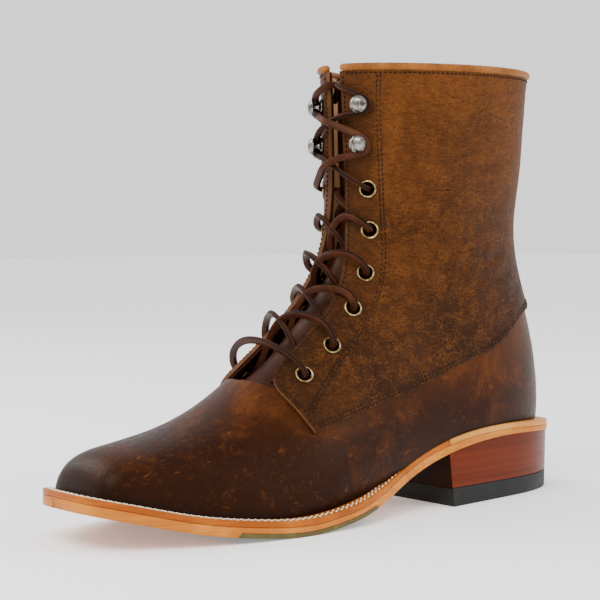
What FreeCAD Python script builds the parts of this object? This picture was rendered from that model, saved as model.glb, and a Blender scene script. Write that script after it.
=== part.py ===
"""Lace-up leather ankle boot with a welted sole, for the left foot.

Built at real size in millimetres.  While it is built, x runs from the back of the heel seat (0)
towards the toe, +Y is the outer (lateral) side and z is the height above the floor.  The finished
sub-parts are then placed so that the origin is under the middle of the boot, on the floor.
"""
import FreeCAD, Part
import math
import os
from FreeCAD import Vector

doc = FreeCAD.newDocument("lace_up_boot")

# ---------------------------------------------------------------- driving dimensions
DIMENSIONS = {
    "origin_x": 156.0,            # middle of the boot's length, from the back of the sole
    "origin_y": 0.0,              # middle of the boot's width
    "welt_thick": 3.0,            # welt and heel rand
    "sole_edge_toe": 7.8,         # welt and outsole together, forepart
    "sole_edge_heel": 5.6,        # the same at the heel
    "slab_width": 140.0,          # wider than the boot, for side-profile slabs
    "slab_height": 60.0,          # taller than the sole, for plan-outline slabs
    "tap_thick": 2.2,             # rubber tap let into the forepart
    "tap_back": 160.0,
    "tap_front": 246.0,
    "breast": 101.0,              # front face of the heel
    "heel_cap_thick": 9.5,
    "leather": 1.8,               # vamp and quarters
    "vamp_over": 0.15,            # air between the vamp and the quarter over it
    "facing_thick": 1.4,
    "lining_thick": 1.1,
    "stiffener_thick": 1.1,
    "layer_air": 0.25,
    "insole_thick": 3.3,
    "sock_thick": 1.2,
    "insole_inset": 6.6,          # insole edge inside the outer face of the upper
    "tongue_thick": 1.8,
    "tongue_depth": 6.6,          # tongue's outer face below the upper's outer face
    "tongue_depth_bar": 6.9,      # the same under the lowest bar of the lace
    "tongue_depth_low": 4.6,      # the same where the tongue meets the vamp
    "bead_high": 3.6,
    "bead_out": 3.4,
    "bead_in": 1.1,
    "strip_half": 2.3,
    "strip_thick": 1.5,
    "eyelet_hole": 2.9,           # radii
    "eyelet_barrel": 3.3,
    "eyelet_flange": 4.6,
    "eyelet_flange_thick": 0.8,
    "punch": 3.5,                # holes through the leather for eyelets and hooks
    "hook_base": 4.8,
    "hook_neck": 1.6,
    "hook_dome": 4.5,
    "hook_gap": 3.9,              # room for the lace under the dome
    "lace": 1.4,                  # radius of the lace
    "shank_width": 15.0,
    "shank_thick": 1.6,
    "shank_back": 58.0,
    "shank_front": 172.0,
    "screw": 1.9,                 # heel screws, radius
    "screw_head": 3.4,
    "screw_long": 16.0,
}
sheet = doc.addObject("Spreadsheet::Sheet", "sizes")
for row, (alias, value) in enumerate(DIMENSIONS.items(), start=1):
    sheet.set(f"A{row}", alias)
    sheet.set(f"B{row}", str(value))
    sheet.setAlias(f"B{row}", alias)
doc.recompute()


def size(alias):
    """Value of one driving dimension."""
    return float(getattr(sheet, alias))


def bind(obj, prop, expression):
    """Ties a property to the sheet; the expression names aliases."""
    words = expression.replace("(", " ").replace(")", " ").split()
    for word in words:
        if word in DIMENSIONS:
            expression = expression.replace(word, "sizes." + word)
    obj.setExpression(prop, expression)


# ---------------------------------------------------------------- curves through given values
def spline(places, values):
    """Natural cubic spline through values at rising places, straight beyond its ends."""
    last = len(places) - 1
    upper, right = [0.0] * (last + 1), [0.0] * (last + 1)
    for i in range(1, last):
        before, after = places[i] - places[i - 1], places[i + 1] - places[i]
        turn = (values[i + 1] - values[i]) / after - (values[i] - values[i - 1]) / before
        pivot = 2 * (before + after) - before * upper[i - 1]
        upper[i] = after / pivot
        right[i] = (6 * turn - before * right[i - 1]) / pivot
    bend = [0.0] * (last + 1)
    for i in range(last - 1, 0, -1):
        bend[i] = right[i] - upper[i] * bend[i + 1]

    def at(place):
        i = 0
        while i < last - 1 and places[i + 1] <= place:
            i += 1
        step = places[i + 1] - places[i]
        if place < places[0]:
            slope = (values[1] - values[0]) / step - step * bend[1] / 6
            return values[0] + slope * (place - places[0])
        if place > places[-1]:
            slope = (values[-1] - values[-2]) / step + step * bend[-2] / 6
            return values[-1] + slope * (place - places[-1])
        a = (places[i + 1] - place) / step
        b = 1 - a
        curve = (a ** 3 - a) * bend[i] + (b ** 3 - b) * bend[i + 1]
        return a * values[i] + b * values[i + 1] + curve * step * step / 6

    return at


# ---------------------------------------------------------------- side profile of the sole
UNDER_X = [0, 102, 120, 140, 162, 185, 208, 235, 262, 290, 312]
UNDER_Z = [30.5, 26.5, 20.5, 12.8, 6.2, 2.0, 0, 1.8, 5.5, 12, 17.2]
sole_under = spline(UNDER_X, UNDER_Z)
edge_step = size("sole_edge_toe") - size("sole_edge_heel")
sole_edge = spline(
    [0, 60, 110, 160, 312],
    [size("sole_edge_heel") + part * edge_step for part in (0, 0.27, 0.82, 1, 1)])


def outsole_top(x):
    return sole_under(x) + sole_edge(x) - size("welt_thick")


def welt_top(x):
    return sole_under(x) + sole_edge(x)


# Plan outline of the sole: outer side from toe to heel, then inner side from heel to toe.
SOLE_OUTLINE = [
    (312, 0), (311.4, 11), (309.3, 18.5), (304.5, 26), (295, 32.3), (280, 38.8), (262, 44.6),
    (240, 49.8), (218, 52.5), (195, 52.2), (172, 49.2), (152, 42.8), (135, 37), (118, 34.3),
    (101, 34.4), (80, 34.4), (60, 33.4), (40, 31.3), (22, 25.6), (8, 15.8), (0, 0),
    (8, -16.5), (22, -26.5), (40, -31.8), (60, -33), (80, -32.5), (101, -30.5), (118, -29.5),
    (135, -31), (152, -35), (172, -41.5), (195, -49), (218, -52.5), (240, -50.3), (262, -44.6),
    (280, -38.2), (295, -31.4), (304.5, -25), (309.3, -17.5), (311.4, -10)]

# ---------------------------------------------------------------- outer face of the upper
# Girths of the upper, from the toe to the collar.  Each one is a loop in a plane square to the
# boot's side view: front point (x, z), back or bottom point (x, z), half width on the outer and
# on the inner side, how egg-shaped it is (minus: widest near the back) and how square.
GIRTHS = [
    ((303.6, 15.5), (303.6, 14.5), 13.0, 12.5, 0.00, 0.10),
    ((303.0, 25.0), (303.0, 6.0), 19.0, 18.5, 0.00, 0.10),
    ((300.3, 33.5), (300.3, 2.0), 23.0, 22.0, -0.02, 0.11),
    ((294.5, 39.3), (294.5, -2.0), 26.5, 25.5, -0.03, 0.11),
    ((282.0, 43.2), (282.0, -6.0), 30.3, 29.3, -0.05, 0.10),
    ((263.0, 46.5), (263.0, -10.0), 35.0, 34.5, -0.08, 0.09),
    ((243.0, 52.0), (240.0, -13.0), 40.0, 39.0, -0.11, 0.07),
    ((223.0, 61.5), (212.0, -14.0), 43.0, 42.0, -0.13, 0.05),
    ((202.0, 77.0), (176.0, -12.0), 43.5, 40.5, -0.13, 0.03),
    ((181.0, 95.0), (132.0, -4.0), 39.5, 36.0, -0.08, 0.02),
    ((163.5, 114.0), (70.0, 6.0), 36.5, 35.0, -0.03, 0.01),
    ((152.5, 133.0), (16.0, 22.0), 36.0, 35.0, -0.02, 0.01),
    ((148.0, 152.0), (9.5, 62.0), 35.0, 34.5, 0.03, 0.00),
    ((147.0, 171.0), (17.5, 96.0), 35.0, 34.5, 0.08, 0.00),
    ((147.5, 189.0), (29.5, 131.0), 36.5, 36.0, 0.06, 0.00),
    ((148.0, 206.0), (30.0, 170.0), 39.5, 39.5, -0.02, 0.00),
    ((149.5, 223.5), (28.0, 223.5), 43.0, 43.0, -0.07, 0.00)]

stations = [0.0]
for lower, higher in zip(GIRTHS, GIRTHS[1:]):
    stations.append(stations[-1] + math.dist(lower[0], higher[0]) + math.dist(lower[1], higher[1]))
stations = [station / stations[-1] for station in stations]
front_x = spline(stations, [girth[0][0] for girth in GIRTHS])
front_z = spline(stations, [girth[0][1] for girth in GIRTHS])
back_x = spline(stations, [girth[1][0] for girth in GIRTHS])
back_z = spline(stations, [girth[1][1] for girth in GIRTHS])
outer_half = spline(stations, [girth[2] for girth in GIRTHS])
inner_half = spline(stations, [girth[3] for girth in GIRTHS])
egg_shape = spline(stations, [girth[4] for girth in GIRTHS])
square_shape = spline(stations, [girth[5] for girth in GIRTHS])


def girth_point(station, angle):
    """Point of the upper's outer face.  angle is 0 at the front and pi at the back, and it is
    minus on the inner side of the foot."""
    depth = (1 - math.cos(angle)) / 2
    half = outer_half(station) if angle >= 0 else inner_half(station)
    egg, square = egg_shape(station), square_shape(station)
    around = abs(angle)
    reach = math.sin(around) + egg * math.sin(2 * around) + square * math.sin(3 * around)
    fx, fz = front_x(station), front_z(station)
    return Vector(
        fx + (back_x(station) - fx) * depth,
        math.copysign(half * reach / (1 - square), angle),
        fz + (back_z(station) - fz) * depth)


def outward(station, angle):
    """Unit normal of the upper's outer face."""
    small = 1e-4
    along = girth_point(station + small, angle) - girth_point(station - small, angle)
    side = -1 if angle < 0 else 1
    first = max(abs(angle) - small, 0.0) * side
    second = (abs(angle) + small) * side
    around = (girth_point(station, second) - girth_point(station, first)) * side
    return around.cross(along).normalize()


def upper_point(station, angle, out=0.0):
    """Point that stands out from the upper's outer face by the given amount."""
    return girth_point(station, angle) + outward(station, angle) * out


def chart(x, z):
    """Station and angle of the upper's point seen at (x, z) in the side view."""
    def beside(station):
        fx, fz = front_x(station), front_z(station)
        return (back_x(station) - fx) * (z - fz) - (back_z(station) - fz) * (x - fx)

    low, steps = 0.0, 90
    high = 1.0
    for i in range(1, steps + 1):
        if beside((i - 1) / steps) * beside(i / steps) <= 0:
            low, high = (i - 1) / steps, i / steps
            break
    low_side = beside(low)
    for _ in range(40):
        middle = (low + high) / 2
        if beside(middle) * low_side > 0:
            low = middle
        else:
            high = middle
    fx, fz = front_x(low), front_z(low)
    run_x, run_z = back_x(low) - fx, back_z(low) - fz
    depth = ((x - fx) * run_x + (z - fz) * run_z) / (run_x ** 2 + run_z ** 2)
    return low, math.acos(max(-1.0, min(1.0, 1 - 2 * depth)))


def solve(function, low, high):
    """Place between low and high where a function changes sign."""
    low_side = function(low)
    for _ in range(40):
        middle = (low + high) / 2
        if function(middle) * low_side > 0:
            low = middle
        else:
            high = middle
    return (low + high) / 2


# ---------------------------------------------------------------- edges of the leather pieces
# Each edge is a function of a fraction 0..1 that gives (station, angle).
def smooth_edge(points):
    """Edge through a list of (station, angle), evenly spaced by length on the boot."""
    marks = [0.0]
    for a, b in zip(points, points[1:]):
        marks.append(marks[-1] + (girth_point(*a) - girth_point(*b)).Length)
    marks = [mark / marks[-1] for mark in marks]
    station_at = spline(marks, [point[0] for point in points])
    angle_at = spline(marks, [point[1] for point in points])
    return lambda part: (station_at(part), angle_at(part))


def feather_edge(lift):
    """Where the upper meets the sole, from the toe to the back of the heel."""
    toe = solve(lambda s: front_z(s) - welt_top(front_x(s)) - lift, 0.0, 0.2)
    heel = solve(lambda s: back_z(s) - welt_top(back_x(s)) - lift, 0.55, 0.8)
    x_toe, x_heel = front_x(toe), back_x(heel)
    points = [(toe, 0.0)]
    samples = 48
    for i in range(1, samples):
        x = x_heel + (x_toe - x_heel) * (1 + math.cos(math.pi * i / samples)) / 2
        points.append(chart(x, welt_top(x) + lift))
    points.append((heel, math.pi))
    return smooth_edge(points)


# The vamp's top edge, hidden under the quarters, and the quarters' lower edge, in side view.
vamp_top = spline([23, 42, 70, 110, 150, 178, 196, 212],
                  [118, 105.5, 92.5, 78.5, 67, 61.5, 64, 69.5])
SEAM = [(194.5, 45.5), (174, 51), (150, 57), (125, 63.5), (90, 74.5), (57, 88), (39, 97.5)]
SEAM_BACK_Z = 107.0
# Half width of the throat gap, by station, and the far edge of the eyelet facing, by station.
throat_gap = spline([0.33, 0.37, 0.43, 0.51, 0.57, 0.637, 0.678, 0.735, 0.85, 1.0],
                    [16.0, 15.2, 14.8, 14.0, 12.0, 9.0, 7.4, 6.2, 5.2, 4.8])
stay_angle = spline([0.342, 0.391, 0.501, 0.595, 0.686, 0.746, 0.837, 0.932, 1.0],
                    [1.05, 0.94, 0.82, 0.715, 0.63, 0.58, 0.575, 0.59, 0.61])
# Edge of the tab at the bottom of each quarter (station, angle), from the seam to the throat.
TAB = [(0.3255, 1.12), (0.3195, 0.85), (0.3165, 0.66), (0.3210, 0.52), (0.3330, 0.44)]
COLLAR = 1.0


def throat_angle(station, behind=0.0):
    """Angle at which the upper is as far from the middle as the throat's edge."""
    gap = throat_gap(station) + behind
    return solve(lambda a: girth_point(station, a).y - gap, 0.0, 1.2)


def back_station(z):
    return solve(lambda s: back_z(s) - z, 0.55, 1.0)


def above_vamp(station, angle, clear):
    """How far a point is above the vamp's top edge, in the side view."""
    point = girth_point(station, angle)
    return point.z - vamp_top(point.x) - clear


def span(low, high, count):
    return [low + (high - low) * i / (count - 1) for i in range(count)]


def vamp_top_edge(clear):
    toe = solve(lambda s: above_vamp(s, 0.0, clear), 0.2, 0.4)
    heel = solve(lambda s: above_vamp(s, math.pi, clear), 0.6, 0.9)
    points = [(toe, 0.0)]
    for x in span(front_x(toe) - 5, back_x(heel) + 6, 16):
        points.append(chart(x, vamp_top(x) + clear))
    points.append((heel, math.pi))
    return smooth_edge(points)


def four_sided(bottom, top, front, back):
    """Chart points of a piece with four edges; u runs along bottom and top, v up the others."""
    corners = [bottom(0), bottom(1), top(0), top(1)]

    def at(u, v):
        low, high, fore, aft = bottom(u), top(u), front(v), back(v)
        result = []
        for k in range(2):
            flat = ((1 - u) * (1 - v) * corners[0][k] + u * (1 - v) * corners[1][k]
                    + (1 - u) * v * corners[2][k] + u * v * corners[3][k])
            result.append((1 - v) * low[k] + v * high[k] + (1 - u) * fore[k] + u * aft[k] - flat)
        return tuple(result)
    return at


def shell_solid(outer_rows, inner_rows):
    """Closed solid between two grids of points: two curved faces and four edge faces."""
    faces = []
    sheets = []
    for rows in (outer_rows, inner_rows):
        surface = Part.BSplineSurface()
        surface.interpolate(rows)
        sheets.append(surface)
        faces.append(surface.toShape())
    for pick in (lambda s: s.uIso(s.bounds()[0]), lambda s: s.uIso(s.bounds()[1]),
                 lambda s: s.vIso(s.bounds()[2]), lambda s: s.vIso(s.bounds()[3])):
        faces.append(Part.makeRuledSurface(pick(sheets[0]).toShape(), pick(sheets[1]).toShape()))
    shell = Part.makeShell(faces)
    shell.sewShape()
    solid = Part.makeSolid(shell)
    if solid.Volume < 0:
        solid.reverse()
    return solid


def leather_solid(at, columns, rows, outside, inside, side=1):
    """Leather piece over a chart region.  outside and inside are how far its faces stand out
    from the upper's outer face; each is a number or a function of (u, v)."""
    grids = []
    for out in (outside, inside):
        grid = []
        for i in range(columns + 1):
            line = []
            for j in range(rows + 1):
                u, v = i / columns, j / rows
                station, angle = at(u, v)
                stand = out(u, v) if callable(out) else out
                line.append(upper_point(station, side * angle, stand))
            grid.append(line)
        grids.append(grid)
    return shell_solid(*grids)


nodes = {}


def keep(obj, label):
    """Registers a finished sub-part under its own name."""
    obj.Label = label
    nodes[label] = obj
    return obj


def feature(name, shape):
    obj = doc.addObject("Part::Feature", name)
    obj.Shape = shape
    return obj


# ---------------------------------------------------------------- layers of the upper
air = size("layer_air")
leather = size("leather")
quarter_in = size("vamp_over")
quarter_out = quarter_in + leather
stiff_out = -leather - air
stiff_in = stiff_out - size("stiffener_thick")
lining_out = stiff_in - air
lining_in = lining_out - size("lining_thick")
FEATHER_LIFT = 0.15
INNER_LIFT = 1.6               # the layers inside the vamp end a little higher


def whole_wrap(low_edge, high_edge):
    """Region that wraps both sides of the foot: u = 0 and 1 at the back, 0.5 at the toe."""
    def at(u, v):
        turn = 2 * u - 1
        a, b = low_edge(abs(turn)), high_edge(abs(turn))
        station = a[0] + (b[0] - a[0]) * v
        angle = a[1] + (b[1] - a[1]) * v
        return station, math.copysign(min(angle, math.pi - 0.002), turn)
    return at


feather = feather_edge(FEATHER_LIFT)
inner_feather = feather_edge(INNER_LIFT)
vamp_edge = vamp_top_edge(0.0)
vamp_region = whole_wrap(feather, vamp_edge)
inner_region = whole_wrap(inner_feather, vamp_edge)


WRAP_COLUMNS, WRAP_ROWS = 120, 12   # steps round the foot, and up from the sole
COUNTER_COLUMNS = 44


def make_vamp():
    solid = leather_solid(vamp_region, WRAP_COLUMNS, WRAP_ROWS, 0.0, -leather)
    keep(feature("vamp", solid), "vamp")


def make_vamp_lining():
    solid = leather_solid(inner_region, WRAP_COLUMNS, WRAP_ROWS, lining_out, lining_in)
    keep(feature("vamp_lining", solid), "vamp_lining")


def region_part(edges, u_low, u_high, v_high):
    """Part of the foot's wrap, between two places along it and up to a share of its height."""
    low_edge, high_edge = edges

    def at(u, v):
        place = u_low + (u_high - u_low) * u
        turn = 2 * place - 1
        a, b = low_edge(abs(turn)), high_edge(abs(turn))
        share = v * (v_high(place) if callable(v_high) else v_high)
        angle = a[1] + (b[1] - a[1]) * share
        station = a[0] + (b[0] - a[0]) * share
        return station, math.copysign(min(angle, math.pi - 0.002), turn)
    return at


TOE_BOX_REACH = 0.17
COUNTER_REACH = 0.17
SIDE_GAP = 0.004


def make_stiffeners():
    wrap = (inner_feather, vamp_edge)
    toe = region_part(wrap, 0.5 - TOE_BOX_REACH, 0.5 + TOE_BOX_REACH, 0.42)
    keep(feature("toe_box", leather_solid(toe, 36, 8, stiff_out, stiff_in)), "toe_box")
    start = 0.5 + TOE_BOX_REACH + SIDE_GAP
    end = 1 - COUNTER_REACH - SIDE_GAP
    left = region_part(wrap, start, end, 0.9)
    right = region_part(wrap, 1 - end, 1 - start, 0.9)
    for name, region in (("side_lining_left", left), ("side_lining_right", right)):
        keep(feature(name, leather_solid(region, 20, 8, stiff_out, stiff_in)), name)


def back_wrap(low_edge, high_edge, reach, v_high):
    """Region round the back of the boot, from the outer side across the back seam."""
    def at(u, v):
        place = 1 - reach * abs(2 * u - 1)
        a, b = low_edge(place), high_edge(place)
        share = v * v_high
        angle = a[1] + (b[1] - a[1]) * share
        return a[0] + (b[0] - a[0]) * share, math.copysign(angle, 1 - 2 * u)
    return at


def make_heel_counter():
    region = back_wrap(inner_feather, vamp_edge, 2 * COUNTER_REACH, 0.93)
    solid = leather_solid(region, COUNTER_COLUMNS, WRAP_ROWS, stiff_out, stiff_in)
    keep(feature("heel_counter", solid), "heel_counter")


make_vamp()
make_vamp_lining()
make_stiffeners()
make_heel_counter()


# ---------------------------------------------------------------- quarters
BACK_ANGLE = math.pi - 0.004


def edge_up(angle_at, low, high, count=14):
    """Edge that climbs the boot between two stations at a given angle."""
    return smooth_edge([(s, angle_at(s)) for s in span(low, high, count)])


def level_edge(station, first, last, count=12):
    return smooth_edge([(station, angle) for angle in span(first, last, count)])


seam_points = [chart(x, z) for x, z in SEAM] + [(back_station(SEAM_BACK_Z), BACK_ANGLE)]
seam_edge = smooth_edge(seam_points)
throat_low = 0.352
tab_points = [seam_points[0]] + TAB
throat_points = [(s, throat_angle(s)) for s in span(throat_low, COLLAR, 16)]
front_edge = smooth_edge(tab_points + throat_points)
collar_edge = level_edge(COLLAR, throat_angle(COLLAR), BACK_ANGLE)
back_edge = edge_up(lambda s: BACK_ANGLE, back_station(SEAM_BACK_Z), COLLAR)
quarter_region = four_sided(seam_edge, collar_edge, front_edge, back_edge)

EYELET_ROWS = [(0.364, 25.0), (0.436, 24.0), (0.527, 21.0), (0.610, 18.5), (0.690, 17.0),
               (0.758, 16.5)]
HOOK_ROWS = [(0.837, 14.5), (0.917, 14.5)]
LEFT, RIGHT = 1, -1


def angle_at_y(station, y):
    """Signed angle at which the upper's outer face is y from the middle."""
    across = solve(lambda a: abs(girth_point(station, math.copysign(a, y)).y) - abs(y), 0.0, 1.35)
    return math.copysign(across, y)


def seat(station, y):
    """Place on the upper's outer face with its axis square to the leather."""
    angle = angle_at_y(station, y)
    turn = FreeCAD.Rotation(Vector(0, 0, 1), outward(station, angle))
    return FreeCAD.Placement(girth_point(station, angle), turn)


def make_punches(side):
    """Tools that cut the lacing holes through one quarter and its facing."""
    tools = []
    for number, (station, y) in enumerate(EYELET_ROWS + HOOK_ROWS):
        tool = doc.addObject("Part::Cylinder", "punch")
        bind(tool, "Radius", "punch")
        tool.Height = 12
        tool.Placement = seat(station, side * y).multiply(
            FreeCAD.Placement(Vector(0, 0, -6), FreeCAD.Rotation()))
        tools.append(tool)
    group = doc.addObject("Part::Compound", "punches")
    group.Links = tools
    return group


def punched(blank, punches, label):
    cut = doc.addObject("Part::Cut", label)
    cut.Base, cut.Tool = blank, punches
    return keep(cut, label)


ABOVE_VAMP = 2.6
LIP = 0.6
STAY_GAP = 0.012
facing_low = solve(lambda s: above_vamp(s, throat_angle(s, LIP), ABOVE_VAMP), 0.25, 0.5)
stay_low = solve(lambda s: above_vamp(s, stay_angle(s), ABOVE_VAMP), 0.25, 0.5)
lining_back = solve(lambda s: above_vamp(s, BACK_ANGLE, ABOVE_VAMP), 0.55, 0.9)


def over_vamp_edge(first, last, count=12):
    """Edge just above the vamp's top edge, between two chart points on that line."""
    x_first, x_last = girth_point(*first).x, girth_point(*last).x
    points = [first]
    for x in span(x_first, x_last, count)[1:-1]:
        points.append(chart(x, vamp_top(x) + ABOVE_VAMP))
    return smooth_edge(points + [last])


def facing_region():
    corner = (facing_low, throat_angle(facing_low, LIP))
    heel = (stay_low, stay_angle(stay_low))
    return four_sided(
        over_vamp_edge(corner, heel),
        level_edge(COLLAR, throat_angle(COLLAR, LIP), stay_angle(COLLAR)),
        edge_up(lambda s: throat_angle(s, LIP), facing_low, COLLAR),
        edge_up(stay_angle, stay_low, COLLAR))


def lining_region():
    def stay_back(station):
        return stay_angle(station) + STAY_GAP
    low = solve(lambda s: above_vamp(s, stay_back(s), ABOVE_VAMP), 0.25, 0.5)
    return four_sided(
        over_vamp_edge((low, stay_back(low)), (lining_back, BACK_ANGLE)),
        level_edge(COLLAR, stay_back(COLLAR), BACK_ANGLE),
        edge_up(stay_back, low, COLLAR),
        edge_up(lambda s: BACK_ANGLE, lining_back, COLLAR))


def make_side(side, word):
    """Quarter, eyelet facing and lining of one side of the shaft."""
    inner = quarter_in - air
    punches = make_punches(side)
    quarter = leather_solid(quarter_region, 30, 30, quarter_out, quarter_in, side)
    punched(feature("quarter_blank", quarter), punches, "quarter_" + word)
    facing = leather_solid(facing_region(), 8, 30, inner, inner - size("facing_thick"), side)
    punched(feature("facing_blank", facing), punches, "facing_" + word)
    lining = leather_solid(lining_region(), 24, 26, inner, inner - size("lining_thick"), side)
    name = "quarter_lining_" + word
    keep(feature(name, lining), name)


STRIP_LOW_Z = 38.0
STEP_LOW_Z, STEP_HIGH_Z = 99.0, SEAM_BACK_Z - 0.8


def make_back_strip():
    """Strip down the back seam, over the quarters and, below them, over the vamp."""
    low = back_station(STRIP_LOW_Z)

    def region(u, v):
        station = low + (COLLAR - low) * v
        slope = girth_point(station, math.pi - 0.02).y / 0.02
        across = (1 - 2 * u) * size("strip_half") / slope
        return station, math.copysign(math.pi - abs(across), across)

    def foot(u, v):
        part = (back_z(low + (COLLAR - low) * v) - STEP_LOW_Z) / (STEP_HIGH_Z - STEP_LOW_Z)
        part = max(0.0, min(1.0, part))
        return 0.1 + quarter_out * part * part * (3 - 2 * part)
    strip = leather_solid(region, 8, 60, lambda u, v: foot(u, v) + size("strip_thick"), foot)
    keep(feature("back_strip", strip), "back_strip")


BEAD_COLUMNS = 60
BEAD_STEPS = 3


def make_collar_bead():
    """Rolled edge along the collar, standing on the quarters' top edges."""
    first = throat_angle(COLLAR)
    grids = []
    for stand in (size("bead_out"), -size("bead_in")):
        grid = []
        for i in range(BEAD_COLUMNS + 1):
            turn = 1 - 2 * i / BEAD_COLUMNS
            angle = math.copysign(math.pi - (math.pi - first) * abs(turn), turn)
            foot = upper_point(COLLAR, angle, stand) + Vector(0, 0, air)
            grid.append([foot + Vector(0, 0, size("bead_high") * j / BEAD_STEPS)
                         for j in range(BEAD_STEPS + 1)])
        grids.append(grid)
    keep(feature("collar_bead", shell_solid(*grids)), "collar_bead")


TONGUE_LOW, TONGUE_HIGH = 0.268, 0.985
tongue_half = spline([0.268, 0.33, 0.45, 0.65, 0.985], [15.0, 19.0, 25.0, 24.0, 24.0])
tongue_depth = spline([0.268, 0.30, 0.34, 0.40, 0.50, 0.70, 0.985],
                      [size("tongue_depth_low"), 5.3, size("tongue_depth_bar"),
                       size("tongue_depth_bar"), size("tongue_depth"), size("tongue_depth"),
                       size("tongue_depth")])


def make_tongue():
    def region(u, v):
        station = TONGUE_LOW + (TONGUE_HIGH - TONGUE_LOW) * v
        edge = angle_at_y(station, tongue_half(station))
        return station, (1 - 2 * u) * edge

    def depth(u, v):
        return -tongue_depth(TONGUE_LOW + (TONGUE_HIGH - TONGUE_LOW) * v)
    thick = size("tongue_thick")
    tongue = leather_solid(region, 18, 30, depth, lambda u, v: depth(u, v) - thick)
    keep(feature("tongue", tongue), "tongue")


make_side(LEFT, "left")
make_side(RIGHT, "right")
make_back_strip()
make_collar_bead()
make_tongue()

# ---------------------------------------------------------------- sole and heel
def plan_sketch(name, points, height=0.0, closed_by_line=False):
    """Outline seen from above: a smooth closed curve, or a curve closed by one straight edge."""
    sketch = doc.addObject("Sketcher::SketchObject", name)
    sketch.Placement.Base = Vector(0, 0, height)
    curve = Part.BSplineCurve()
    curve.interpolate([Vector(x, y, 0) for x, y in points], PeriodicFlag=not closed_by_line)
    sketch.addGeometry(curve)
    if closed_by_line:
        ends = [Vector(*points[-1], 0), Vector(*points[0], 0)]
        sketch.addGeometry(Part.LineSegment(*ends))
    return sketch


SIDE_STEPS = 22


def side_sketch(name, low, high, first=-6.0, last=318.0):
    """Band in the side view between two heights along the boot."""
    sketch = doc.addObject("Sketcher::SketchObject", name)
    sketch.Placement = FreeCAD.Placement(Vector(), FreeCAD.Rotation(Vector(1, 0, 0), 90))
    places = span(first, last, SIDE_STEPS)
    lines = []
    for height in (low, high):
        curve = Part.BSplineCurve()
        curve.interpolate([Vector(x, height(x), 0) for x in places])
        sketch.addGeometry(curve)
        lines.append([Vector(x, height(x), 0) for x in (first, last)])
    for low_end, high_end in zip(*lines):
        sketch.addGeometry(Part.LineSegment(low_end, high_end))
    return sketch


def pulled(name, sketch, expression, centred):
    """Solid pulled from a sketch, square to it, by a length from the sheet."""
    pull = doc.addObject("Part::Extrusion", name)
    pull.Base = sketch
    pull.DirMode = "Normal"
    pull.Solid = True
    pull.Symmetric = centred
    bind(pull, "LengthFwd", expression)
    return pull


def side_slab(name, low, high, first=-6.0, last=318.0):
    sketch = side_sketch(name + "_side", low, high, first, last)
    return pulled(name + "_slab", sketch, "slab_width", True)


def plan_slab(name, points, closed_by_line=False):
    sketch = plan_sketch(name + "_plan", points, 0.0, closed_by_line)
    return pulled(name + "_column", sketch, "slab_height", False)


def common(name, first, second):
    both = doc.addObject("Part::Common", name)
    both.Base, both.Tool = first, second
    return both


def cut(name, base, tool):
    result = doc.addObject("Part::Cut", name)
    result.Base, result.Tool = base, tool
    return result


def feather_plan(inset, count=20):
    """Outline of the foot space at the sole, inset from the upper's outer face."""
    points = []
    for i in range(count + 1):
        station, angle = feather(i / count)
        points.append(upper_point(station, angle, -inset))
    other = []
    for i in range(count - 1, 0, -1):
        station, angle = feather(i / count)
        other.append(upper_point(station, -angle, -inset))
    return [(point.x, point.y) for point in points + other]


sole_column = plan_slab("sole", SOLE_OUTLINE)
seat_column = plan_slab("seat", feather_plan(size("insole_inset")))
filler_column = plan_slab("filler", feather_plan(size("insole_inset") + 0.3))
BREAST_GAP = 0.1
breast = size("breast")

outsole_blank = common("outsole_blank", side_slab("outsole", sole_under, outsole_top), sole_column)
tap_side = side_slab("tap", lambda x: sole_under(x) - 5, lambda x: sole_under(x) + size("tap_thick"),
                     size("tap_back"), size("tap_front"))
tap_form = common("tap_form", outsole_blank, tap_side)
keep(common("forefoot_tap", outsole_blank, tap_side), "forefoot_tap")

SCREWS = [(24, 0), (46, 14), (46, -14), (74, 0)]


def make_screw_holes(name, radius_alias, low_of, high_of):
    holes = []
    for x, y in SCREWS:
        hole = doc.addObject("Part::Cylinder", name)
        bind(hole, "Radius", radius_alias)
        hole.Height = high_of(x) - low_of(x)
        hole.Placement.Base = Vector(x, y, low_of(x))
        holes.append(hole)
    group = doc.addObject("Part::Compound", name + "_group")
    group.Links = holes
    return group


SCREW_AIR = 0.15
head_holes = make_screw_holes("head_hole", "screw_head + 0.3",
                              lambda x: sole_under(x) - 5, lambda x: sole_under(x) + 20)
outsole_tapped = cut("outsole_tapped", outsole_blank, tap_form)
keep(cut("outsole", outsole_tapped, head_holes), "outsole")


PLATE_AIR = 0.05


def rim_part(name, first, last):
    """Part of the rim between the outsole and the upper, round the foot space."""
    slab = side_slab(name, lambda x: outsole_top(x) + PLATE_AIR, welt_top, first, last)
    plate = common(name + "_plate", slab, sole_column)
    keep(cut(name, plate, seat_column), name)


rim_part("welt", breast + BREAST_GAP, 318.0)
rim_part("heel_rand", -6.0, breast - BREAST_GAP)

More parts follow.
